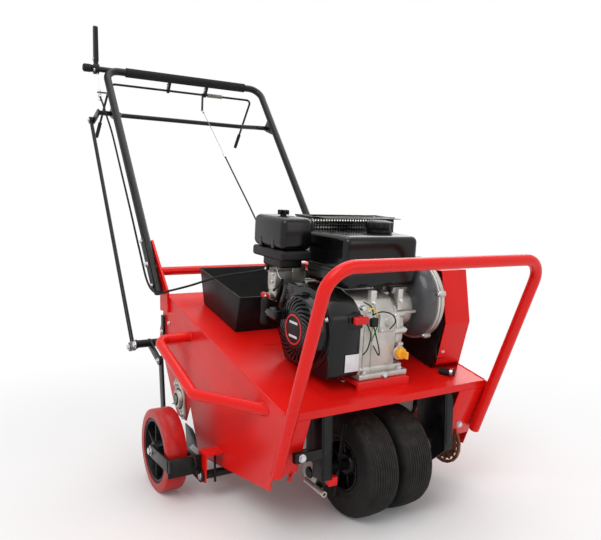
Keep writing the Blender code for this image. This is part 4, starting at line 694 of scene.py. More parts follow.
def make_lift_bar():
    lever_x = ROD_X + ROD_EYE / 2 + GAP
    corners = (
        (lever_x + 0.0025, *LIFT_BAR_AXIS),
        (-0.268, *LIFT_BAR_AXIS),
        (-0.25, *LIFT_BAR_RUN),
        (0.25, *LIFT_BAR_RUN),
        (0.268, *LIFT_BAR_AXIS),
        (0.3105, *LIFT_BAR_AXIS),
    )
    parts = [
        pipe(rounded(corners, 0.02, 12), 0.008, 24),
        prism("X", strap(LIFT_BAR_AXIS, LIFT_BAR_EYE, 0.012), lever_x, lever_x + LEVER_SHEET),
        rod("X", ROD_X - ROD_EYE / 2 - 0.002, lever_x + 0.001, 0.005, LIFT_BAR_EYE),
    ]
    piece("lift_bar_tube", parts, "black_paint", "lift_bar", replaces="lift_bar")
    heads = bolts("X", ROD_X - ROD_EYE / 2 - 0.0006, -0.004, 0.0058, LIFT_BAR_EYE)
    piece("lift_bar_bolt", heads, "bright_steel", "lift_bar")


def make_lift_rod():
    half = ROD_EYE / 2
    eye = mirrored([(-half, 0.0055), (-half, 0.0115), (-half + 0.0006, 0.012)])
    parts = [pipe(((ROD_X, *LIFT_BAR_EYE), (ROD_X, *ROCKER_EYE)), 0.006, 20)]
    parts += [turned("X", shifted(eye, ROD_X), centre, 32) for centre in (LIFT_BAR_EYE, ROCKER_EYE)]
    piece("lift_rod_bar", parts, "black_paint", "lift_rod", replaces="lift_rod")


def make_rocker():
    lever_x = ROD_X - ROD_EYE / 2 - GAP
    crank_x = LINK_X[1] + GAP
    outer_x = crank_x + LEVER_SHEET
    parts = [
        rod("X", lever_x - LEVER_SHEET, outer_x, 0.011, ROCKER_AXIS),
        prism("X", strap(ROCKER_AXIS, ROCKER_EYE, 0.013), lever_x - LEVER_SHEET, lever_x),
        rod("X", lever_x - 0.001, ROD_X + ROD_EYE / 2 + 0.002, 0.005, ROCKER_EYE),
    ]
    heads = bolts("X", lever_x - LEVER_SHEET, -0.006, 0.0075, ROCKER_EYE)
    heads += bolts("X", lever_x - LEVER_SHEET, -0.006, 0.0085, ROCKER_AXIS)
    for side in (-1, 1):
        parts.append(prism("X", strap(ROCKER_AXIS, LINK_TOP, 0.013), side * crank_x, side * outer_x))
        parts.append(rod("X", side * 0.3105, side * (crank_x + 0.001), 0.005, LINK_TOP))
        heads += bolts("X", side * outer_x, side * 0.005, 0.0065, LINK_TOP)
    piece("rocker_shaft", parts, "black_paint", "lift_rocker", replaces="lift_rocker")
    piece("rocker_bolts", heads, "bright_steel", "lift_rocker")


def make_throttle():
    y, z = HANDLE_TOP
    low, high = THROTTLE_X
    tip = 0.0085
    hub = [(low, 0.0102), (low, 0.0165), (low + 0.0015, 0.018)]
    hub += [(high - 0.0015, 0.018), (high, 0.0165), (high, 0.0102)]
    blade = around((y, z + 0.03), 0.012, (y, THROTTLE_TOP_Z - tip), tip)
    parts = [
        turned("X", hub, HANDLE_TOP, 40),
        block((low + 0.003, y - 0.011, z), (high - 0.003, y + 0.011, z + 0.034), 0.0015),
        prism("X", blade, low + 0.001, high - 0.001, 0.003),
    ]
    piece("throttle_blade", parts, "black_plastic", "throttle_lever", replaces="throttle_lever")
    heads = bolts("X", low + 0.001, -0.004, 0.005, (y - 0.0125, z - 0.006))
    heads += bolts("X", low + 0.001, -0.004, 0.0045, (y, z + 0.032))
    piece("throttle_bolts", heads, "bright_steel", "throttle_lever")
    sheath = pipe(smooth_route(THROTTLE_ROUTE[1:], 0.012), 0.003, 16)
    piece("throttle_sheath", [sheath], "rubber", replaces="throttle_cable")
    x, y, z = THROTTLE_ROUTE[0]
    adjuster = [
        rod("Z", z - 0.026, z - 0.004, 0.0045, (x, y), 20),
        rod("Z", z - 0.012, z - 0.006, 0.0062, (x, y), 6),
        rod("Z", z - 0.004, z + 0.01, 0.0032, (x, y), 16),
    ]
    piece("throttle_adjuster", adjuster, "bright_steel")
    route = ((x, y, z + 0.008), (x, 0.98, 1.125), (x, 0.992, 1.16))
    piece("throttle_wire", [pipe(smooth_route(route, 0.01), 0.0009, 8)], "bright_steel")


def make_clutch_cable():
    start, onward = Vector(CLUTCH_ROUTE[0]), Vector(CLUTCH_ROUTE[1])
    along = (onward - start).normalized()
    piece("clutch_wire", [pipe((start, start + along * 0.3), 0.0011, 10)], "bare_steel")
    fittings = []
    for low, high, radius in ((0.004, 0.016, 0.0036), (0.29, 0.315, 0.004)):
        fittings.append(pipe((start + along * low, start + along * high), radius, 16))
    piece("clutch_cable_fittings", fittings, "bright_steel")
    sheath = pipe(smooth_route([start + along * 0.305, *CLUTCH_ROUTE[1:]], 0.012), 0.0025, 14)
    piece("clutch_sheath", [sheath], "rubber", replaces="clutch_cable")


def tyre_profile():
    """Rounded shoulders with fine ribs between them on a slight crown."""
    ribs, spread, groove, depth, crown = 10, 0.031, 0.0011, 0.0016, 2.6
    half = TYRE_WIDTH / 2
    shoulder = [(-0.036, 0.058), (-0.0395, 0.064), (-0.0412, 0.07), (-0.04, 0.0715), (-0.0418, 0.073)]
    shoulder += [(-half, 0.082), (-half, 0.093), (-0.0412, 0.101), (-0.039, 0.107)]
    shoulder += [(-0.0355, 0.1118), (-0.033, 0.114)]
    tread = []
    for rib in range(ribs):
        low = -spread + 2 * spread * rib / ribs + groove / 2
        high = -spread + 2 * spread * (rib + 1) / ribs - groove / 2
        low_top, high_top = TYRE_RADIUS - crown * low**2, TYRE_RADIUS - crown * high**2
        tread += [(low, low_top - depth), (low + 0.0003, low_top - 0.0003), (low + 0.0008, low_top)]
        tread += [(high - 0.0008, high_top), (high - 0.0003, high_top - 0.0003), (high, high_top - depth)]
    return shoulder + tread + mirrored(shoulder)[len(shoulder) :]


def make_front_wheels():
    profile = tyre_profile()
    edge = RIM_RADIUS - 0.004
    rim = [(-0.028, 0.0135), (-0.028, 0.022), (-0.026, 0.024), (-0.012, 0.03), (-0.01, edge - 0.002)]
    rim += [(-0.034, edge - 0.001), (-0.038, edge), (-0.038, edge + 0.0035), (-0.036, RIM_RADIUS)]
    y, z = AXLE
    inner, outer = y + 0.02, y + RIM_RADIUS - 0.0045
    rib = ((inner, z - 0.003), (outer, z - 0.003), (outer, z + 0.003), (inner, z + 0.003))
    for side, word in SIDES:
        x = side * TYRE_X
        tyre = turned("X", shifted(profile, x), AXLE, 112)
        piece(f"tyre_{word}", [tyre], "tyre", "front_wheels", replaces=f"front_tyre_{word}")
        parts = [turned("X", shifted(mirrored(rim), x), AXLE, 64)]
        for turn in range(20, 380, 60):
            parts.append(spun(prism("X", rib, x - 0.024, x + 0.024, 0.0008), turn, "X", (0, *AXLE)))
        piece(f"front_rim_{word}", parts, "black_paint", "front_wheels", replaces="front_axle")
    bar = rod("X", -0.1725, 0.2405, 0.0125, AXLE, 40, 0.0015)
    piece("axle_bar", [bar], "black_paint", "front_wheels")
    piece("axle_sprocket", [sprocket(AXLE, 0.2275, 0.047, 18)], "worn_steel", "front_wheels")
    hub = rod("X", 0.23, 0.239, 0.022, AXLE, 40, 0.0015)
    piece("axle_sprocket_hub", [hub], "red_paint", "front_wheels")


def sprocket(centre, middle_x, tip, teeth):
    """A toothed wheel, its tooth given by shares of the pitch and of the depth."""
    tooth_shape = ((0.0, 0.1), (0.09, 0.0), (0.18, 0.1), (0.3, 0.55))
    tooth_shape += ((0.42, 0.95), (0.59, 1.0), (0.76, 0.95), (0.88, 0.55))
    depth = 1.7 * tip / teeth
    outline = []
    for tooth in range(teeth):
        for share, drop in tooth_shape:
            outline.append(polar(centre, tip - depth * drop, 2 * math.pi * (tooth + share) / teeth))
    return prism("X", outline, middle_x - 0.002, middle_x + 0.002, 0)


def make_rear_wheels():
    half = WHEEL_WIDTH / 2
    tread = [(-half, TREAD_INNER + 0.0005), (-half, WHEEL_RADIUS - 0.0045)]
    tread += [(-half + 0.0012, WHEEL_RADIUS - 0.0015), (-half + 0.0045, WHEEL_RADIUS)]
    rim = [(-0.0257, 0.0068), (-0.0257, 0.02), (-0.0245, 0.0215), (-0.013, 0.023), (-0.006, 0.026)]
    rim += [(-0.005, 0.066), (-0.017, 0.069), (-0.0225, 0.07), (-0.0235, 0.0715), (-0.0235, 0.076)]
    rim += [(-0.0225, TREAD_INNER)]
    ring = [(-0.0262, 0.0085), (-0.0262, 0.015), (-0.024, 0.0165), (-0.024, 0.0085)]
    y, z = WHEEL_CENTRE
    rib = ((y + 0.018, z - 0.0024), (y + 0.07, z - 0.0018), (y + 0.07, z + 0.0018), (y + 0.018, z + 0.0024))
    for side, word in SIDES:
        x = side * WHEEL_X
        body = f"rear_wheel_{word}"
        parts = [turned("X", shifted(mirrored(tread), x), WHEEL_CENTRE, 96)]
        piece(f"tread_{word}", parts, "red_urethane", body, replaces=f"rear_tread_{word}")
        parts = [turned("X", shifted(mirrored(rim), x), WHEEL_CENTRE, 72)]
        for turn in range(30, 390, 60):
            parts.append(spun(prism("X", rib, x - 0.02, x + 0.02), turn, "X", (0, y, z)))
        for way in (1, -1):
            parts.append(turned("X", shifted(ring, x, way), WHEEL_CENTRE, 48))
        piece(f"rim_{word}", parts, "black_plastic", body, replaces=f"rear_rim_{word}")


def make_swing_frame():
    arm_x, arm_end = SWING_ARM_X
    half_gap = 0.0275
    inner, outer = WHEEL_X - half_gap, WHEEL_X + half_gap
    outer_end = outer + FORK_SHEET
    bar_y, fork_z = SWING_AXIS[0] + 0.007, WHEEL_CENTRE[1]
    bar = [(bar_y - 0.004, SWING_AXIS[1] + 0.006), (bar_y + 0.004, SWING_AXIS[1] + 0.006)]
    bar += [(bar_y + 0.004, fork_z + 0.015), (bar_y - 0.004, fork_z + 0.015)]
    fork = strap((bar_y, fork_z), WHEEL_CENTRE, 0.015)
    parts = [rod("X", -arm_end, arm_end, 0.01, SWING_AXIS, 36)]
    heads = []
    for side in (-1, 1):
        parts.append(prism("X", strap(SWING_AXIS, SWING_PIN, 0.015), side * arm_x, side * arm_end))
        parts.append(prism("X", bar, side * arm_x, side * outer_end, 0.001))
        for near in (inner - FORK_SHEET, outer):
            parts.append(prism("X", fork, side * near, side * (near + FORK_SHEET), 0.001))
        parts.append(rod("X", side * 0.3188, side * (arm_x + 0.001), 0.01, SWING_PIN, 32))
        heads.append(rod("X", side * (inner - FORK_SHEET), side * outer_end, 0.006, WHEEL_CENTRE, 28))
        heads += bolts("X", side * outer_end, side * 0.006, 0.0088, WHEEL_CENTRE)
        heads += bolts("X", side * arm_end, side * 0.005, 0.0075, SWING_PIN)
        heads += bolts("X", side * arm_end, side * 0.005, 0.0078, SWING_AXIS)
    piece("swing_frame_bars", parts, "black_paint", "swing_frame", replaces="swing_frame")
    piece("swing_frame_bolts", heads, "bright_steel", "swing_frame")
    low, high = LINK_X
    for side, word in SIDES:
        link = prism("X", strap(LINK_TOP, SWING_PIN, 0.0125), side * low, side * high, 0.0008)
        piece(f"link_bar_{word}", [link], "black_paint", "lift_links", replaces=f"lift_link_{word}")


def make_hanger(side, word):
    """A channel with its inner and outer cheek, its front and the pads on that."""
    inner, outer = HANGER_X
    front, rear = HANGER_Y
    foot = HANGER_FOOT_Z
    top, rear_top = deck_z(front) - DECK_SHEET, deck_z(rear) - DECK_SHEET
    cheek = ((front, foot), (front, top), (rear, rear_top), (rear, 0.088), (AXLE[0] - 0.028, 0.088))
    fold = ((front, foot), (front, top), (front + 0.036, top + 0.009), (front + 0.036, foot))
    near, far = side * (inner + 0.0045), side * (outer - 0.0045)
    parts = [
        prism("X", cheek, side * inner, side * (inner + 0.004), 0.0008),
        prism("X", fold, side * (outer - 0.004), side * outer, 0.0008),
        block((side * inner, front, foot), (side * outer, front + 0.004, top), 0.0025, 4),
        block((near, front - 0.0012, 0.14), (far, front + 0.001, 0.262), 0.001),
        block((near, front + 0.004, 0.15), (far, front + 0.03, 0.2), 0.002),
    ]
    piece(f"hanger_{word}", parts, "black_paint", replaces=f"front_hanger_{word}")


def make_axle_bearing(side, word):
    """A collar and two flanges round the axle, either side of the hanger's inner cheek."""
    cheek = HANGER_X[0]
    parts = []
    for low, high, radius in ((-0.008, -0.005, 0.018), (-0.006, 0.001, 0.027), (0.003, 0.01, 0.027)):
        ring = rod("X", side * (cheek + low), side * (cheek + high), radius, AXLE, 48, 0.001)
        parts.append(cut_out(ring, [rod("X", side * 0.14, side * 0.2, 0.0129, AXLE, 40, 0)]))
    piece(f"axle_bearing_{word}", parts, "cast_aluminium")


def make_hanger_bolts(side, word):
    """Bolts of one hanger, the one in front on a lug at the right and on the fold at the left."""
    inner, outer = HANGER_X
    front = HANGER_Y[0]
    top = deck_z(front) - DECK_SHEET
    seats = ((front + 0.05, top - 0.006), (front + 0.075, top + 0.002))
    heads = bolts("X", side * inner, -side * 0.006, 0.0055, *seats)
    seats = [(AXLE[0] + offset, AXLE[1] + 0.008) for offset in (-0.02, 0.02)]
    heads += bolts("X", side * (inner - 0.006), -side * 0.004, 0.0038, *seats)
    if word == "right":
        lug = block((-0.249, front - 0.001, 0.175), (-outer - GAP, front + 0.012, 0.1955), 0.0015)
        piece("hanger_lug", [lug], "black_paint")
        heads += bolts("Y", front - 0.001, -0.0055, 0.0068, (-0.2325, 0.185))
    else:
        heads += bolts("Y", panel_front_y(0.171) - 0.002, -0.0055, 0.0068, (0.231, 0.171))
    piece(f"hanger_bolts_{word}", heads, "bright_steel")


def make_hangers():
    for side, word in SIDES:
        make_hanger(side, word)
        make_axle_bearing(side, word)
        make_hanger_bolts(side, word)
    plate = ((-0.1435, 0.222), (-0.1335, 0.222), (-0.094, 0.046), (-0.105, 0.044))
    piece("carrier_plate", [prism("X", plate, -0.1, -0.097)], "black_plastic")
    tube_x, y, z = -0.1685, -0.164, 0.09
    stay = pipe(((tube_x, y, z), (tube_x, -0.09, 0.0965)), 0.0062, 28)
    hollow = pipe(((tube_x, y - 0.004, z - 0.0004), (tube_x, y + 0.02, z + 0.0018)), 0.004, 24)
    piece("stay_tube", [cut_out(stay, [hollow])], "cast_aluminium")
    tab = ((-0.1765, 0.128), (-0.15, 0.128), (-0.15, 0.118), (-0.1765, 0.11))
    piece("hanger_tab", [prism("X", tab, -0.166, -0.144, 0.0008)], "red_paint")


def make_panel_flanges():
    """Folds that stiffen the side panels' front edges."""
    edge, sheet = PANEL_X - 0.001, 0.0025
    outline = [(panel_front_y(z), z) for z in (0.14, 0.266)]
    outline += [(y + sheet, z) for y, z in reversed(outline)]
    tongue = [(panel_front_y(z) - 0.003, z) for z in (0.118, 0.142)]
    tongue += [(y + 0.012, z) for y, z in reversed(tongue)]
    for (side, word), width in zip(SIDES, (0.056, 0.086)):
        near = edge - width
        parts = [
            prism("X", outline, side * edge, side * near),
            prism("X", tongue, side * (near + 0.01), side * (near + 0.01 + sheet), 0.0005),
        ]
        piece(f"panel_flange_{word}", parts, "red_paint")


def make_reel_bearings():
    length, lobe, lean = 0.113, 0.014, math.radians(62)
    along = Vector(polar((0, 0), length / 2 - lobe, lean))
    middle = Vector(REEL)
    ends = (middle + along, middle - along)
    inner = PANEL_X + GAP
    ring = [(0.0, 0.0165), (0.0, 0.025), (0.013, 0.024), (0.0165, 0.0225), (0.017, 0.0165)]
    seal = [(0.001, 0.0133), (0.001, 0.0165), (0.0158, 0.0165), (0.0158, 0.0133)]
    for side, word in SIDES:
        parts = []
        for end in ends:
            outline = around(end, lobe, middle, 0.03)
            parts.append(prism("X", outline, side * inner, side * (inner + 0.008), 0.0016))
        parts.append(turned("X", shifted(ring, side * inner, side), REEL, 56))
        piece(f"bearing_flange_{word}", parts, "cast_aluminium", replaces=f"reel_bearing_{word}")
        parts = [turned("X", shifted(seal, side * inner, side), REEL, 48)]
        piece(f"bearing_seal_{word}", parts, "rubber")
        heads = bolts("X", side * (inner + 0.008), side * 0.0055, 0.007, *ends)
        nipple = middle + Vector((0.016, -0.016))
        heads.append(rod("X", side * (inner + 0.01), side * (inner + 0.0215), 0.0022, nipple, 16))
        piece(f"bearing_bolts_{word}", heads, "bright_steel")


def make_tray():
    front, rear = TRAY_FLOOR_Y
    rims = TRAY_RIM
    right, left = TRAY_X
    tray = prism("X", ((front, deck_z(front) + GAP), (rear, deck_z(rear) + GAP), *rims), right, left, 0.003)
    front += TRAY_WALL
    rear -= TRAY_WALL
    floor, above = GAP + TRAY_WALL, 0.018
    hollow = [(front, deck_z(front) + floor), (rear, deck_z(rear) + floor)]
    hollow += [(y, z + above) for y, z in rims]
    hollow = prism("X", hollow, right + TRAY_WALL, left - TRAY_WALL, 0.003)
    piece("tray_moulding", [cut_out(tray, [hollow])], "black_plastic", replaces="rear_tray")
    bead = 0.0022
    right, left = right + bead / 2, left - bead / 2
    corners = [(y, z - GAP) for y, z in rims]
    lip = [pipe([(x, *corner) for corner in corners], bead, 12) for x in (right, left)]
    lip += [pipe(((right, *corner), (left, *corner)), bead, 12) for corner in corners]
    piece("tray_lip", lip, "black_plastic")


def make_guard_fittings():
    # A black plate across the belt guard's open side: a dark sheet as painted shade where the open underside
    # lies in shadow.
    outline = [(y, deck_z(y) + 0.004) for y in (0.122, -0.108)]
    outline += [(-0.144, 0.418), (-0.128, 0.538), (0.08, 0.538), (0.12, 0.486)]
    plate = prism("X", outline, 0.1796, 0.1816, 0.0004)
    plate = cut_out(plate, [rod("X", 0.17, 0.19, 0.03, BELT_GUARD_HOLE, 40, 0)])
    piece("belt_guard_painted_shade_plate", [plate], "black_paint")
    latch = block((0.179, -0.1235, 0.33), (0.208, -0.1195, 0.368), 0.0012)
    piece("guard_latch", [latch], "black_paint")
    piece("guard_latch_bolt", bolts("Y", -0.1235, -0.0055, 0.006, (0.1965, 0.349)), "bright_steel")
    route = ((0.186, -0.128, 0.302), (0.196, -0.146, 0.302), (0.204, -0.16, 0.3025))
    piece("hose_end", [pipe(smooth_route(route, 0.004), 0.0085, 24)], "rubber")
    clamp = pipe(((0.1995, -0.1512, 0.3025), (0.203, -0.1572, 0.3026)), 0.0094, 28)
    piece("hose_clamp", [clamp], "bright_steel")


def make_deck_trim():
    """Folded edges along the deck and the sheet round the engine mount."""
    x = PANEL_X - 0.0016
    ends = [(y, deck_z(y) - 0.0006) for y in (-0.186, 0.484)]
    folds = [pipe([(side * x, *end) for end in ends], 0.0024, 16) for side in (-1, 1)]
    piece("deck_folds", folds, "red_paint")
    low_x, high_x = FILL_X
    inner_x, outer_x = MOUNT_X
    front, middle, rear = FILL_Y
    fill = []
    for ends, sides in (
        ((front, middle), (low_x, high_x)),
        ((middle, rear), (low_x, inner_x)),
        ((middle, rear), (outer_x, high_x)),
    ):
        outline = [(y, deck_z(y) - 0.001) for y in ends]
        outline += [(y, deck_z(y) - 0.0028) for y in reversed(ends)]
        fill.append(prism("X", outline, *sides, 0))
    piece("deck_fill", fill, "red_paint")


def make_frame_fittings():
    seat, inner = PANEL_X + GAP, PANEL_X - 0.0028
    uprights, heads, beads = [], [], []
    ring = [(0.0, 0.0128), (0.0, 0.015), (0.0014, 0.0142), (0.0028, 0.0128)]
    for side in (-1, 1):
        uprights.append(block((side * 0.296, 0.0995, 0.05), (side * 0.301, 0.1035, 0.1167), 0.0008))
        heads += bolts("X", side * seat, side * 0.0045, 0.0055, (0.455, 0.375))
        for centre, stretch in ((GUARD_REAR, 1.0), (GUARD_FOOT, 1.9)):
            bead = turned("X", shifted(ring, side * (PANEL_X + 0.0002), side), steps=40)
            bead.transform(Matrix.Translation((0, *centre)) @ Matrix.Diagonal((1, stretch, 1, 1)))
            beads.append(bead)
    piece("pivot_uprights", uprights, "black_paint")
    piece("frame_bolts", heads, "bright_steel")
    piece("weld_beads", beads, "red_paint")
    plate = block((-0.285, 0.486, 0.33), (-0.28, 0.506, 0.392), 0.001)
    piece("rear_edge_plate", [plate], "black_paint")
    piece("rear_edge_bolt", bolts("X", -0.285, -0.005, 0.0055, (0.496, 0.345)), "bright_steel")
    outline = ((0.302, 0.115), (0.35, 0.118), (0.338, 0.04), (0.236, 0.052), (0.236, 0.078))
    for side, word in SIDES:
        guard = prism("X", outline, side * inner, side * (inner - 0.003), 0.0008)
        piece(f"reel_guard_{word}", [guard], "black_paint")
    patch = ((0.321, 0.0585), (0.296, 0.0765), (0.242, 0.074), (0.246, 0.057))
    piece("plain_patch", [prism("X", patch, -inner - 0.0006, -inner + 0.0002, 0.0002)], "white_plate")


def crankcase_parts():
    """The case, its round side cover with bosses, its foot and the ribs and pads on its front."""
    low_x, high_x = CASE_X
    case = [(-0.076, -0.102), (-0.076, 0.022), (-0.072, 0.032), (-0.05, 0.066)]
    case += [(0.0, 0.08), (0.06, 0.07), (0.078, 0.02), (0.072, -0.102)]
    middle_y, middle_z = COVER_MIDDLE
    cover = []
    for step in range(40):
        angle = 2 * math.pi * step / 40
        cover.append(polar(COVER_MIDDLE, 0.0765 + 0.0025 * math.cos(5 * angle), angle))
    raised = [(middle_y + (y - middle_y) * 0.93, middle_z + (z - middle_z) * 0.93) for y, z in cover]
    parts = [
        prism("X", case, low_x, high_x - 0.03, 0.004),
        prism("X", cover, high_x - 0.026, high_x - 0.012, 0.002),
        prism("X", raised, high_x - 0.034, high_x, 0.003),
        block((low_x, -0.088, -0.106), (high_x, 0.088, -0.093), 0.0022, 4),
        block((low_x + 0.006, -0.078, -0.095), (high_x - 0.008, 0.078, -0.08), 0.004, 4),
        block((-0.012, -0.08, -0.004), (0.036, -0.074, 0.04), 0.003, 4),
        rod("Y", -0.0825, -0.074, 0.011, (0.012, 0.02), 32, 0.002),
        rod("Y", -0.079, -0.074, 0.0165, DIPSTICK, 36, 0.0015),
    ]
    for centre in on_circle(COVER_MIDDLE, 0.072, COVER_BOLTS):
        parts.append(rod("X", high_x - 0.036, high_x + 0.001, 0.0078, centre, 28, 0.0015))
    rib = ((-0.078, -0.09), (-0.074, -0.09), (-0.074, 0.02), (-0.078, 0.01))
    for x in (-0.052, -0.03):
        parts.append(prism("X", rib, x, x + 0.003, 0.0008))
    for low, high in ((-0.03, -0.014), (0.048, 0.062)):
        parts.append(block((low, -0.066, 0.04), (high, -0.052, 0.0886), 0.0015))
    return parts


def cylinder_parts():
    """The finned cylinder and its head, leaning back over the case."""
    low_x, high_x = CASE_X
    parts = [block((low_x + 0.012, 0.02, -0.036), (high_x - 0.012, 0.18, 0.036), 0.004)]
    for fin in range(8):
        y = 0.176 - fin * 0.0125
        parts.append(block((low_x + 0.002, y - 0.0028, -0.047), (high_x - 0.002, y, 0.047), 0.0009, 2))
    parts.append(block((low_x + 0.016, 0.176, -0.03), (high_x - 0.016, 0.1835, 0.03), 0.003))
    for part in parts:
        part.transform(Matrix.Translation((0, *CYLINDER_START)) @ Matrix.Rotation(CYLINDER_TILT, 4, "X"))
    return parts


def make_engine_case():
    parts = crankcase_parts() + cylinder_parts()
    piece("engine_casting", parts, "cast_aluminium", replaces="crankcase", engine=True)
    heads = bolts("X", CASE_X[1] + 0.001, 0.0048, 0.0048, *on_circle(COVER_MIDDLE, 0.072, COVER_BOLTS))
    feet = [(x, y) for y in (-0.08, 0.08) for x in (-0.05, 0.052)]
    heads += bolts("Z", -0.093, 0.007, 0.0062, *feet)
    heads += bolts("Y", -0.088, -0.0055, 0.0066, (0.004, -0.0995))
    heads += bolts("Y", -0.08, -0.004, 0.0036, (-0.006, 0.002), (0.03, 0.034))
    heads += bolts("Y", -0.066, -0.0045, 0.0045, (-0.022, 0.062), (0.055, 0.062))
    heads += bolts("Y", -0.076, -0.0045, 0.0045, (-0.04, 0.046))
    piece("engine_bolts", heads, "bright_steel", engine=True)


def make_shroud():
    """The blower housing with its switch pad, raised face and the bosses of its screws."""
    ridge = [(y * 0.985, z * 0.985) for y, z in SHROUD_OUTLINE]
    corner = ((0.09, 0.086), (0.14, 0.064), (0.14, 0.02), (0.12, 0.02))
    x, z = SWITCH
    inner = CASE_X[0] - 0.0005
    parts = [
        prism("X", SHROUD_OUTLINE, -0.15, inner, 0.009),
        block((x - 0.024, SHROUD_FRONT - 0.002, z - 0.02), (inner, SHROUD_FRONT + 0.02, z + 0.01), 0.003),
        prism("X", ridge, -0.1502, -0.146, 0.002),
        prism("X", corner, -0.1512, -0.148, 0.002),
    ]
    for centre in ((-0.066, 0.03), (-0.03, 0.066), (0.075, 0.072), (0.13, 0.0)):
        parts.append(rod("X", -0.1512, -0.146, 0.0075, centre, 28))
    piece("shroud_moulding", parts, "gloss_black", replaces="blower_housing", engine=True)
    low, high = (-0.108, SHROUD_FRONT - 0.0026, -0.0805), (-0.0715, SHROUD_FRONT - 0.0014, -0.042)
    piece("shroud_plain_plate", [block(low, high, 0.0004)], "white_plate", engine=True)


def recoil_slots(count=26):
    """Swept openings between the blades of the recoil cover."""
    start, end = RECOIL_X[0] - 0.01, RECOIL_X[0] + 0.02
    slots = []
    for slot in range(count):
        edges = ([], [])
        for step in range(6):
            share = step / 5
            width = 0.04 + 0.022 * share
            for edge, offset in zip(edges, (-width, width)):
                turn = 2 * math.pi * slot / count + 0.62 * share + offset
                edge.append(polar((0, 0), 0.0412 + 0.0285 * share, turn))
        slots.append(prism("X", edges[0] + edges[1][::-1], start, end, 0))
    return slots


def make_recoil():
    face, rim = RECOIL_X
    wall = 0.0025
    profile = [(rim, 0.0755), (rim, 0.0908), (rim - 0.0012, RECOIL_RADIUS)]
    profile += [(rim - 0.0026, RECOIL_RADIUS - 0.0006), (rim - 0.0035, 0.08), (rim - 0.006, 0.0775)]
    profile += [(face + 0.0125, 0.0745), (face + 0.0095, 0.073), (face + 0.002, 0.0625)]
    profile += [(face + 0.0003, 0.06), (face, 0.057), (face, RECOIL_DISC)]
    profile += [(face + wall, RECOIL_DISC - 0.001), (face + wall, 0.056), (face + 0.0045, 0.06)]
    profile += [(face + 0.012, 0.0705)]
    cover = cut_out(turned("X", profile, steps=132), recoil_slots())
    guide = block((-0.2055, 0.05, 0.01), (-0.165, 0.0945, 0.032), 0.005, 4)
    piece("recoil_grille", [cover, guide], "gloss_black", replaces="recoil_cover", engine=True, angle=30)
    disc = [(-0.0008, 0), (-0.0008, 0.0345), (0.0, 0.036), (0.002, 0.0366), (0.002, 0)]
    piece("recoil_disc", [turned("X", shifted(disc, face), steps=72)], "black_plastic", engine=True)
    ring = [(-0.0007, 0.0295), (-0.0016, 0.03), (-0.0018, 0.032), (-0.0014, 0.0338), (-0.0006, 0.0342)]
    piece("recoil_ring", [turned("X", shifted(ring, face), steps=72)], "red_plastic", engine=True)
    bands = []
    for z in (0.0125, -0.018):
        bands.append(block((face - 0.0013, -0.0165, z), (face - 0.0006, 0.0165, z + 0.0055), 0.0003))
    piece("recoil_bands", bands, "white_plate", engine=True)
    fan = [(0.013, 0), (0.013, 0.069), (0.0145, 0.069), (0.0145, 0)]
    piece("recoil_inner", [turned("X", shifted(fan, face), steps=64)], "rubber", engine=True)
    heads = bolts("X", rim - 0.0026, -0.005, 0.0046, *on_circle((0, 0), 0.0855, (35, 155, 275)))
    heads.append(rod("Y", 0.0925, 0.0952, 0.0085, (-0.196, 0.021), 32, 0.0008))
    piece("recoil_bolts", heads, "bright_steel", engine=True)
    grip = [(-0.011, 0), (-0.011, 0.004), (-0.0098, 0.0068), (-0.006, 0.009), (0.004, 0.0098)]
    grip += [(0.014, 0.0094), (0.021, 0.0086), (0.028, 0.0094), (0.038, 0.0098), (0.048, 0.009)]
    grip += [(0.0518, 0.0068), (0.053, 0.004), (0.053, 0)]
    grip = turned("Z", grip, (-0.2005, 0.1048), 40)
    piece("recoil_grip", [grip], "rubber", "recoil_handle", replaces="recoil_handle", engine=True)


def make_tank():
    """Two half shells with a seam between them, a neck, and the ribbed cap on it."""
    low, high = Vector(TANK[0]), Vector(TANK[1])
    inset = Vector((0.0018, 0.0018, 0))
    seam = 0.132
    neck = [(-0.004, 0), (-0.004, 0.044), (-0.001, 0.0425), (0.0002, 0.04), (0.0002, 0)]
    parts = [
        block(low + inset, ((high - inset).x, (high - inset).y, seam + 0.004), 0.014, 6),
        block(((low + inset).x, (low + inset).y, seam - 0.02), high - inset, 0.016, 7),
        block((low.x, low.y, seam - 0.0022), (high.x, high.y, seam + 0.0022), 0.0018),
        turned("Z", shifted(neck, high.z), FUEL_CAP),
    ]
    piece("tank_shell", parts, "gloss_black", replaces="fuel_tank", engine=True)
    top = high.z + GAP
    outline = []
    for step in range(96):
        angle = 2 * math.pi * step / 96
        wave = 0.5 + 0.5 * math.cos(8 * angle)
        outline.append(polar(FUEL_CAP, 0.0312 + 0.0028 * wave**0.6, angle))
    dome = [(0.025, 0), (0.025, 0.0285), (0.0265, 0.027), (0.0278, 0.02), (0.028, 0)]
    parts = [
        prism("Z", outline, top + 0.008, top + 0.0255, 0.0018),
        rod("Z", top, top + 0.01, 0.03, FUEL_CAP, 56, 0.001),
        turned("Z", shifted(dome, top), FUEL_CAP, 56),
    ]
    piece("cap_moulding", parts, "black_plastic", "fuel_cap", replaces="fuel_cap", engine=True)


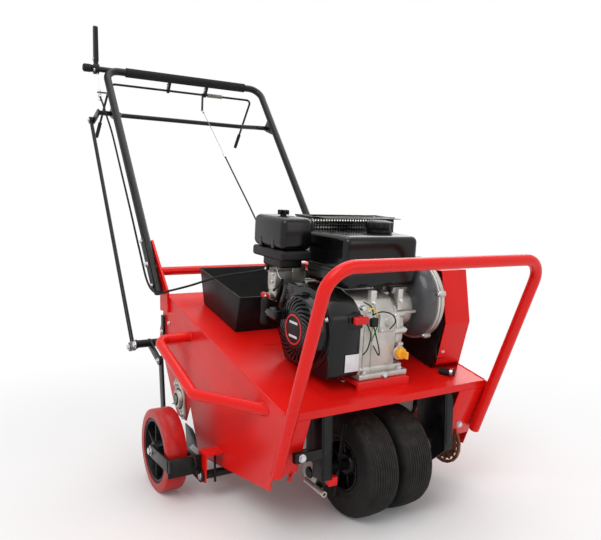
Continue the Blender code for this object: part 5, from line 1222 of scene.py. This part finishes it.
def make_air_cleaner():
    low, high = Vector(CLEANER[0]), Vector(CLEANER[1])
    split = low.z + 0.024
    neck = (low + Vector((0.014, 0.03, -0.02)), (high.x - 0.008, high.y - 0.03, low.z + 0.006))
    parts = [block(low, (high.x, high.y, split), 0.007, 5), block(*neck, 0.005, 4)]
    piece("cleaner_base", parts, "black_plastic", replaces="air_cleaner_base", engine=True)
    cover = ((low.x - 0.001, low.y - 0.001, split + GAP), high - Vector((0.001, 0.001, 0)))
    parts = [block(*cover, 0.015, 7)]
    for share in (0.3, 0.7):
        middle = Vector((low.x + 0.0011, low.y + (high.y - low.y) * share, split + 0.013))
        half = Vector((0.0029, 0.006, 0.011))
        parts.append(block(middle - half, middle + half, 0.0015))
    piece("cleaner_cover", parts, "gloss_black", replaces="air_cleaner_cover", engine=True)
    x, y, _ = (low + high) / 2
    parts = [rod("Z", high.z - 0.002, high.z + 0.0055, 0.0075, (x, y), 32, 0.0015)]
    for turn in (20, 80, 140):
        corner = (x - 0.0135, y - 0.002, high.z + 0.003)
        wing = block(corner, (x + 0.0135, y + 0.002, high.z + 0.0138), 0.0015)
        parts.append(spun(wing, turn, "Z", (x, y, 0)))
    piece("cleaner_knob", parts, "black_plastic", engine=True)


def guard_sheets(low, high):
    """Perforated sheets of the muffler's guard: front, rear, end and top."""
    width, depth = high.x - low.x, high.y - low.y
    quarter = math.radians(-90)
    laid = Matrix.Rotation(quarter, 4, "X") @ Matrix.Scale(-1, 4, (0, 0, 1))
    sheets = []
    for size, holes, hole, corner, turn in (
        ((width - 0.016, 0.052), (30, 6), 0.0029, (low.x + 0.008, low.y + 0.002, high.z - 0.056), Matrix()),
        ((width - 0.016, 0.078), (30, 9), 0.0029, (low.x + 0.008, high.y - 0.001, high.z - 0.082), Matrix()),
        (
            (depth - 0.01, 0.052),
            (8, 6),
            0.0029,
            (low.x + 0.001, high.y - 0.005, high.z - 0.056),
            Matrix.Rotation(quarter, 4, "Z"),
        ),
        (
            (width - 0.03, depth - 0.026),
            (26, 6),
            0.0031,
            (low.x + 0.015, low.y + 0.013, high.z - 0.0008),
            laid,
        ),
    ):
        sheet = perforated(*size, *holes, hole, 0.0014)
        sheet.transform(Matrix.Translation(corner) @ turn)
        sheets.append(sheet)
    bmesh.ops.recalc_face_normals(sheets[-1], faces=sheets[-1].faces)
    return sheets


def guard_frame(low, high):
    """Folded edges round the perforated sheets, and the feet."""
    fold, thin = 0.014, 0.0016
    bars = []
    for z in (high.z - 0.004, high.z - 0.058):
        bars.append(((low.x, low.y, z), (high.x, low.y + 0.003, z + 0.004), 0.001))
        bars.append(((low.x, low.y, z), (low.x + 0.003, high.y, z + 0.004), 0.001))
        bars.append(((high.x - 0.003, low.y, z), (high.x, high.y, z + 0.004), 0.001))
    bars.append(((low.x, high.y - 0.003, high.z - 0.004), high, 0.001))
    for x in (low.x, high.x - fold):
        bars.append(((x, low.y, high.z - thin), (x + fold, high.y, high.z), 0.0005))
    for y in (low.y, high.y - fold):
        bars.append(((low.x, y, high.z - thin), (high.x, y + fold, high.z), 0.0005))
    end_low = (high.x - 0.0025, low.y + 0.002, high.z - 0.09)
    bars.append((end_low, high - Vector((0.001, 0.002, 0.002)), 0.0004))
    for x in (low.x + 0.001, high.x - 0.005):
        bars.append(((x, low.y + 0.001, low.z + 0.004), (x + 0.004, low.y + 0.01, high.z - 0.01), 0.001))
    return [block(*bar) for bar in bars]


def make_muffler():
    low, high = Vector(MUFFLER[0]), Vector(MUFFLER[1])
    body = block(low + Vector((0.01, 0.01, 0.0)), high - Vector((0.01, 0.01, 0.01)), 0.014, 5)
    outlet = rod("Z", low.z - 0.02, low.z + 0.012, 0.013, (0.03, low.y + 0.022), 32)
    piece("muffler_body", [body, outlet], "bare_steel", replaces="muffler", engine=True)
    guard = guard_sheets(low, high) + guard_frame(low, high)
    piece("muffler_guard", guard, "black_paint", engine=True, angle=30)


def make_carburettor():
    low_x, low_y, low_z = -0.16, 0.147, 0.03
    high_x, high_y, high_z = -0.1, 0.192, 0.1397
    bowl = (-0.134, 0.1695)
    parts = [
        block((low_x + 0.008, low_y + 0.004, 0.064), (high_x, high_y - 0.004, 0.104), 0.005, 4),
        block((low_x + 0.012, low_y + 0.002, 0.104), (high_x - 0.004, high_y - 0.002, high_z), 0.004, 4),
        rod("Z", low_z, 0.06, 0.0195, bowl, 44, 0.004),
        rod("Z", 0.056, 0.068, 0.0215, bowl, 44, 0.0015),
        block((high_x - 0.004, low_y + 0.004, 0.07), (CASE_X[0] - 0.0005, high_y - 0.004, 0.1185), 0.002),
        rod("X", low_x, low_x + 0.012, 0.0088, CHOKE, 32),
        rod("X", low_x, low_x + 0.02, 0.0088, FUEL_VALVE, 32),
    ]
    piece("carburettor_casting", parts, "cast_aluminium", replaces="carburettor", engine=True)
    wire = ((-0.146, 0.146, 0.121), (-0.154, 0.14, 0.118), (-0.155, 0.128, 0.098), (-0.15, 0.12, 0.088))
    bright = bolts("Z", low_z, -0.004, 0.0055, bowl)
    bright += bolts("X", low_x + 0.008, -0.0045, 0.0036, (0.158, 0.078), (0.158, 0.096))
    bright.append(pipe(smooth_route(wire, 0.004), 0.0013, 10))
    bright.append(prism("Z", strap((-0.146, 0.15), (-0.146, 0.124), 0.006), 0.1215, 0.1235, 0.0004))
    bright.append(helix("Z", (0.124, 0.139), 0.0045, 0.0009, (-0.146, 0.136), 7))
    piece("carburettor_fittings", bright, "bright_steel", engine=True)
    hose = ((-0.148, 0.16, 0.04), (-0.153, 0.146, 0.034), (-0.154, 0.128, 0.052), (-0.152, 0.114, 0.09))
    linkage = ((-0.154, 0.112, 0.088), (-0.156, 0.128, 0.07), (-0.156, 0.146, 0.06), (-0.15, 0.156, 0.056))
    hoses = [pipe(smooth_route(hose, 0.006), 0.0036, 16), pipe(smooth_route(linkage, 0.006), 0.0024, 12)]
    piece("fuel_hoses", hoses, "rubber", engine=True)


def make_drum():
    """The reduction housing: a ribbed neck, a cone and the two bolted rings of the drum."""
    ring = REDUCTION_RADIUS
    y, z = DRUM_NECK
    parts = [rod("X", 0.0735, 0.13, 0.042, DRUM_NECK, 56, 0.002)]
    for turn in range(36, 396, 72):
        web = block((0.074, y + 0.036, z - 0.003), (0.118, y + 0.056, z + 0.003), 0.001)
        parts.append(spun(web, turn, "X", (0, y, z)))
    piece("drum_neck", parts, "cast_aluminium", replaces="reduction_housing", engine=True)
    # The cone's dark grey is painted shade on the inner face of the aluminium case.
    cone = [(0.118, 0), (0.118, 0.056), (0.1235, ring - 0.022), (0.13, ring - 0.014)]
    cone += [(0.14, ring - 0.0075), (0.15, ring - 0.0045), (0.15, 0)]
    piece("drum_cone", [turned("X", cone, REDUCTION, 96)], "drum_cone_painted_shade", engine=True)
    lip = ring + 0.001
    outer = [(0.1495, 0.0132), (0.1495, ring - 0.003), (0.1502, ring + 0.0004), (0.151, lip), (0.1552, lip)]
    outer += [(0.156, ring), (0.1568, ring - 0.003), (0.1584, ring - 0.003), (0.1592, ring), (0.16, lip)]
    outer += [(0.1672, lip), (0.1682, ring - 0.001), (0.174, ring - 0.014), (0.175, 0.06), (0.178, 0.028)]
    outer += [(0.178, 0.0132)]
    lugs = on_circle(REDUCTION, lip, range(20, 380, 72))
    parts = [turned("X", outer, REDUCTION, 96)]
    parts += [rod("X", 0.15, 0.168, 0.007, centre, 28, 0.001) for centre in lugs]
    piece("drum_rings", parts, "cast_aluminium", engine=True)
    piece("drum_bolts", bolts("X", 0.15, -0.0045, 0.0044, *lugs), "bright_steel", engine=True)


def make_small_controls():
    front = -0.0763
    x, z = DIPSTICK
    collar = rod("Y", front - 0.015, front, 0.0128, DIPSTICK, 40, 0.0025)
    tab = block((x - 0.0028, front - 0.0315, z - 0.0085), (x + 0.0028, front - 0.01, z + 0.0085), 0.0022, 4)
    piece("dipstick_cap", [collar, tab], "orange_plastic", "dipstick", replaces="dipstick", engine=True)
    seat = SHROUD_FRONT - 0.002 - GAP
    x, z = SWITCH
    knob = [
        block((x - 0.0185, seat - 0.013, z - 0.0085), (x + 0.0185, seat - 0.001, z + 0.0085), 0.0045, 5),
        rod("Y", seat - 0.004, seat, 0.0088, SWITCH, 40, 0.001),
    ]
    piece("switch_knob", knob, "red_plastic", "engine_switch", replaces="engine_switch", engine=True)
    screw = bolts("Y", SHROUD_FRONT, -0.015, 0.0058, (-0.075, 0.06))
    piece("shroud_bolt", screw, "bright_steel", engine=True)
    for name, centre in (("choke", CHOKE), ("fuel_valve", FUEL_VALVE)):
        screw = rod("X", -0.169, -0.166, 0.0035, centre, 20, 0.0008)
        piece(f"{name}_screw", [screw], "bright_steel", f"{name}_lever", engine=True)


# Leads in front of the crankcase: the finish and the route of each
WIRES = (
    ("yellow_wire", (
        (-0.062, -0.088, 0.052), (-0.052, -0.098, 0.058), (-0.036, -0.096, 0.046),
        (-0.03, -0.088, 0.03), (-0.036, -0.084, 0.004),
    )),
    ("green_wire", (
        (-0.036, -0.086, 0.036), (-0.028, -0.092, 0.022), (-0.032, -0.09, 0.002),
        (-0.036, -0.084, -0.02),
    )),
    ("rubber", (
        (-0.058, -0.09, 0.026), (-0.05, -0.098, 0.0), (-0.056, -0.098, -0.03),
        (-0.064, -0.092, -0.046),
    )),
    ("rubber", (
        (-0.04, -0.086, 0.04), (-0.02, -0.096, 0.048), (0.006, -0.098, 0.04),
        (0.02, -0.094, 0.022), (0.012, -0.086, 0.004),
    )),
    ("rubber", (
        (-0.04, -0.086, 0.03), (-0.034, -0.094, 0.0), (-0.024, -0.096, -0.032),
        (-0.016, -0.088, -0.052), (-0.03, -0.084, -0.03),
    )),
    ("rubber", ((-0.064, -0.084, 0.07), (-0.05, -0.094, 0.06), (-0.04, -0.09, 0.04))),
)


def make_wires():
    for number, (finish, route) in enumerate(WIRES, 1):
        wire = pipe(smooth_route(route, 0.003), 0.0014, 12)
        piece(f"wire_{number}", [wire], finish, engine=True)
    plug = block((-0.045, -0.094, 0.014), (-0.027, -0.084, 0.034), 0.002)
    piece("wire_connector", [plug], "black_plastic", engine=True)


def seen_directly(tree):
    """One where a ray from the camera, a mirror or glass meets the background, or else zero."""
    ray = add_node(tree, "LightPath").outputs
    total = ray["Is Camera Ray"]
    for kind in ("Is Glossy Ray", "Is Transmission Ray"):
        total = add_node(tree, "Math", {0: total, 1: ray[kind]}, operation="MAXIMUM").outputs["Value"]
    return total


def make_floor():
    """A wide matte floor that catches shadows under the machine and turns white further out."""
    bm = bmesh.new()
    bmesh.ops.create_circle(bm, cap_ends=True, segments=96, radius=40)
    floor = mesh_object("floor", bm)
    floor.location.y = -0.25
    material = bpy.data.materials.new("floor")
    material.use_nodes = True
    tree = material.node_tree
    tree.nodes.remove(tree.nodes["Principled BSDF"])
    matte = add_node(tree, "BsdfDiffuse", {"Color": (0.86, 0.86, 0.86, 1)})
    glow = add_node(tree, "Emission", {"Color": (1, 1, 1, 1)})
    place = add_node(tree, "TexCoord").outputs["Object"]
    away = add_node(tree, "VectorMath", {0: place}, operation="LENGTH").outputs["Value"]
    fading = {"Value": away, "From Min": 0.5, "From Max": 1.7, "To Min": 0.05, "To Max": 1.0}
    fade = add_node(tree, "MapRange", fading, interpolation_type="SMOOTHSTEP").outputs["Result"]
    seen = add_node(tree, "Math", {0: fade, 1: seen_directly(tree)}, operation="MULTIPLY")
    mixing = {"Fac": seen.outputs["Value"], 1: matte.outputs["BSDF"], 2: glow.outputs["Emission"]}
    mix = add_node(tree, "MixShader", mixing)
    set_inputs(tree, tree.nodes["Material Output"], {"Surface": mix.outputs["Shader"]})
    floor.data.materials.append(material)


def make_lamps():
    for name, place, size, power in (
        ("key", (-1.9, -1.6, 2.6), 1.8, 48),
        ("overhead", (0.2, 0.2, 3.0), 2.4, 34),
        ("rim", (1.9, 0.9, 2.0), 1.6, 20),
        ("front", (0.6, -3.0, 1.2), 2.0, 14),
    ):
        light = bpy.data.lights.new(name, "AREA")
        light.size = size
        light.energy = power
        lamp = bpy.data.objects.new(name, light)
        lamp.location = place
        aim = Vector((0, 0, 0.45)) - Vector(place)
        lamp.rotation_euler = aim.to_track_quat("-Z", "Y").to_euler()
        bpy.context.scene.collection.objects.link(lamp)


def make_world():
    """White where it is seen, dimmer where it lights the machine."""
    world = bpy.data.worlds.new("studio")
    world.use_nodes = True
    tree = world.node_tree
    soft = tree.nodes["Background"]
    set_inputs(tree, soft, {"Color": (1, 1, 1, 1), "Strength": 0.42})
    white = add_node(tree, "Background", {"Color": (1, 1, 1, 1), "Strength": 1.0})
    mixing = {"Fac": seen_directly(tree), 1: soft.outputs["Background"], 2: white.outputs["Background"]}
    mix = add_node(tree, "MixShader", mixing)
    set_inputs(tree, tree.nodes["World Output"], {"Surface": mix.outputs["Shader"]})
    bpy.context.scene.world = world


def make_camera():
    heading, pitch, roll = CAMERA_HEADING, CAMERA_PITCH, CAMERA_ROLL
    forward = Vector(
        (math.sin(heading) * math.cos(pitch), math.cos(heading) * math.cos(pitch), -math.sin(pitch))
    )
    level = Vector((math.cos(heading), -math.sin(heading), 0))
    down = forward.cross(level)
    right = level * math.cos(roll) + down * math.sin(roll)
    up = level * math.sin(roll) - down * math.cos(roll)
    view = bpy.data.cameras.new("camera")
    view.sensor_width = 36
    view.lens = CAMERA_LENS
    camera = bpy.data.objects.new("camera", view)
    turn = Matrix((right, up, -forward)).transposed().to_4x4()
    x, y, z = CAMERA_PLACE
    camera.matrix_world = Matrix.Translation((x, y - MIDDLE_Y, z)) @ turn
    bpy.context.scene.collection.objects.link(camera)
    bpy.context.scene.camera = camera


def make_frame_pieces():
    make_hoops()
    make_handlebar()
    make_handlebar_trim()
    make_hangers()
    make_panel_flanges()
    make_reel_bearings()
    make_tray()
    make_guard_fittings()
    make_deck_trim()
    make_frame_fittings()


def make_controls_and_wheels():
    make_bail()
    make_lift_bar()
    make_lift_rod()
    make_rocker()
    make_throttle()
    make_clutch_cable()
    make_front_wheels()
    make_rear_wheels()
    make_swing_frame()


def make_engine_pieces():
    make_engine_case()
    make_shroud()
    make_recoil()
    make_tank()
    make_air_cleaner()
    make_muffler()
    make_carburettor()
    make_drum()
    make_small_controls()
    make_wires()


def main():
    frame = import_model()
    bpy.context.scene.view_settings.view_transform = "Standard"
    make_camera()
    for name in FINISHES:
        make_finish(name)
    dress_solids(frame)
    make_frame_pieces()
    make_controls_and_wheels()
    make_engine_pieces()
    make_floor()
    make_lamps()
    make_world()


main()
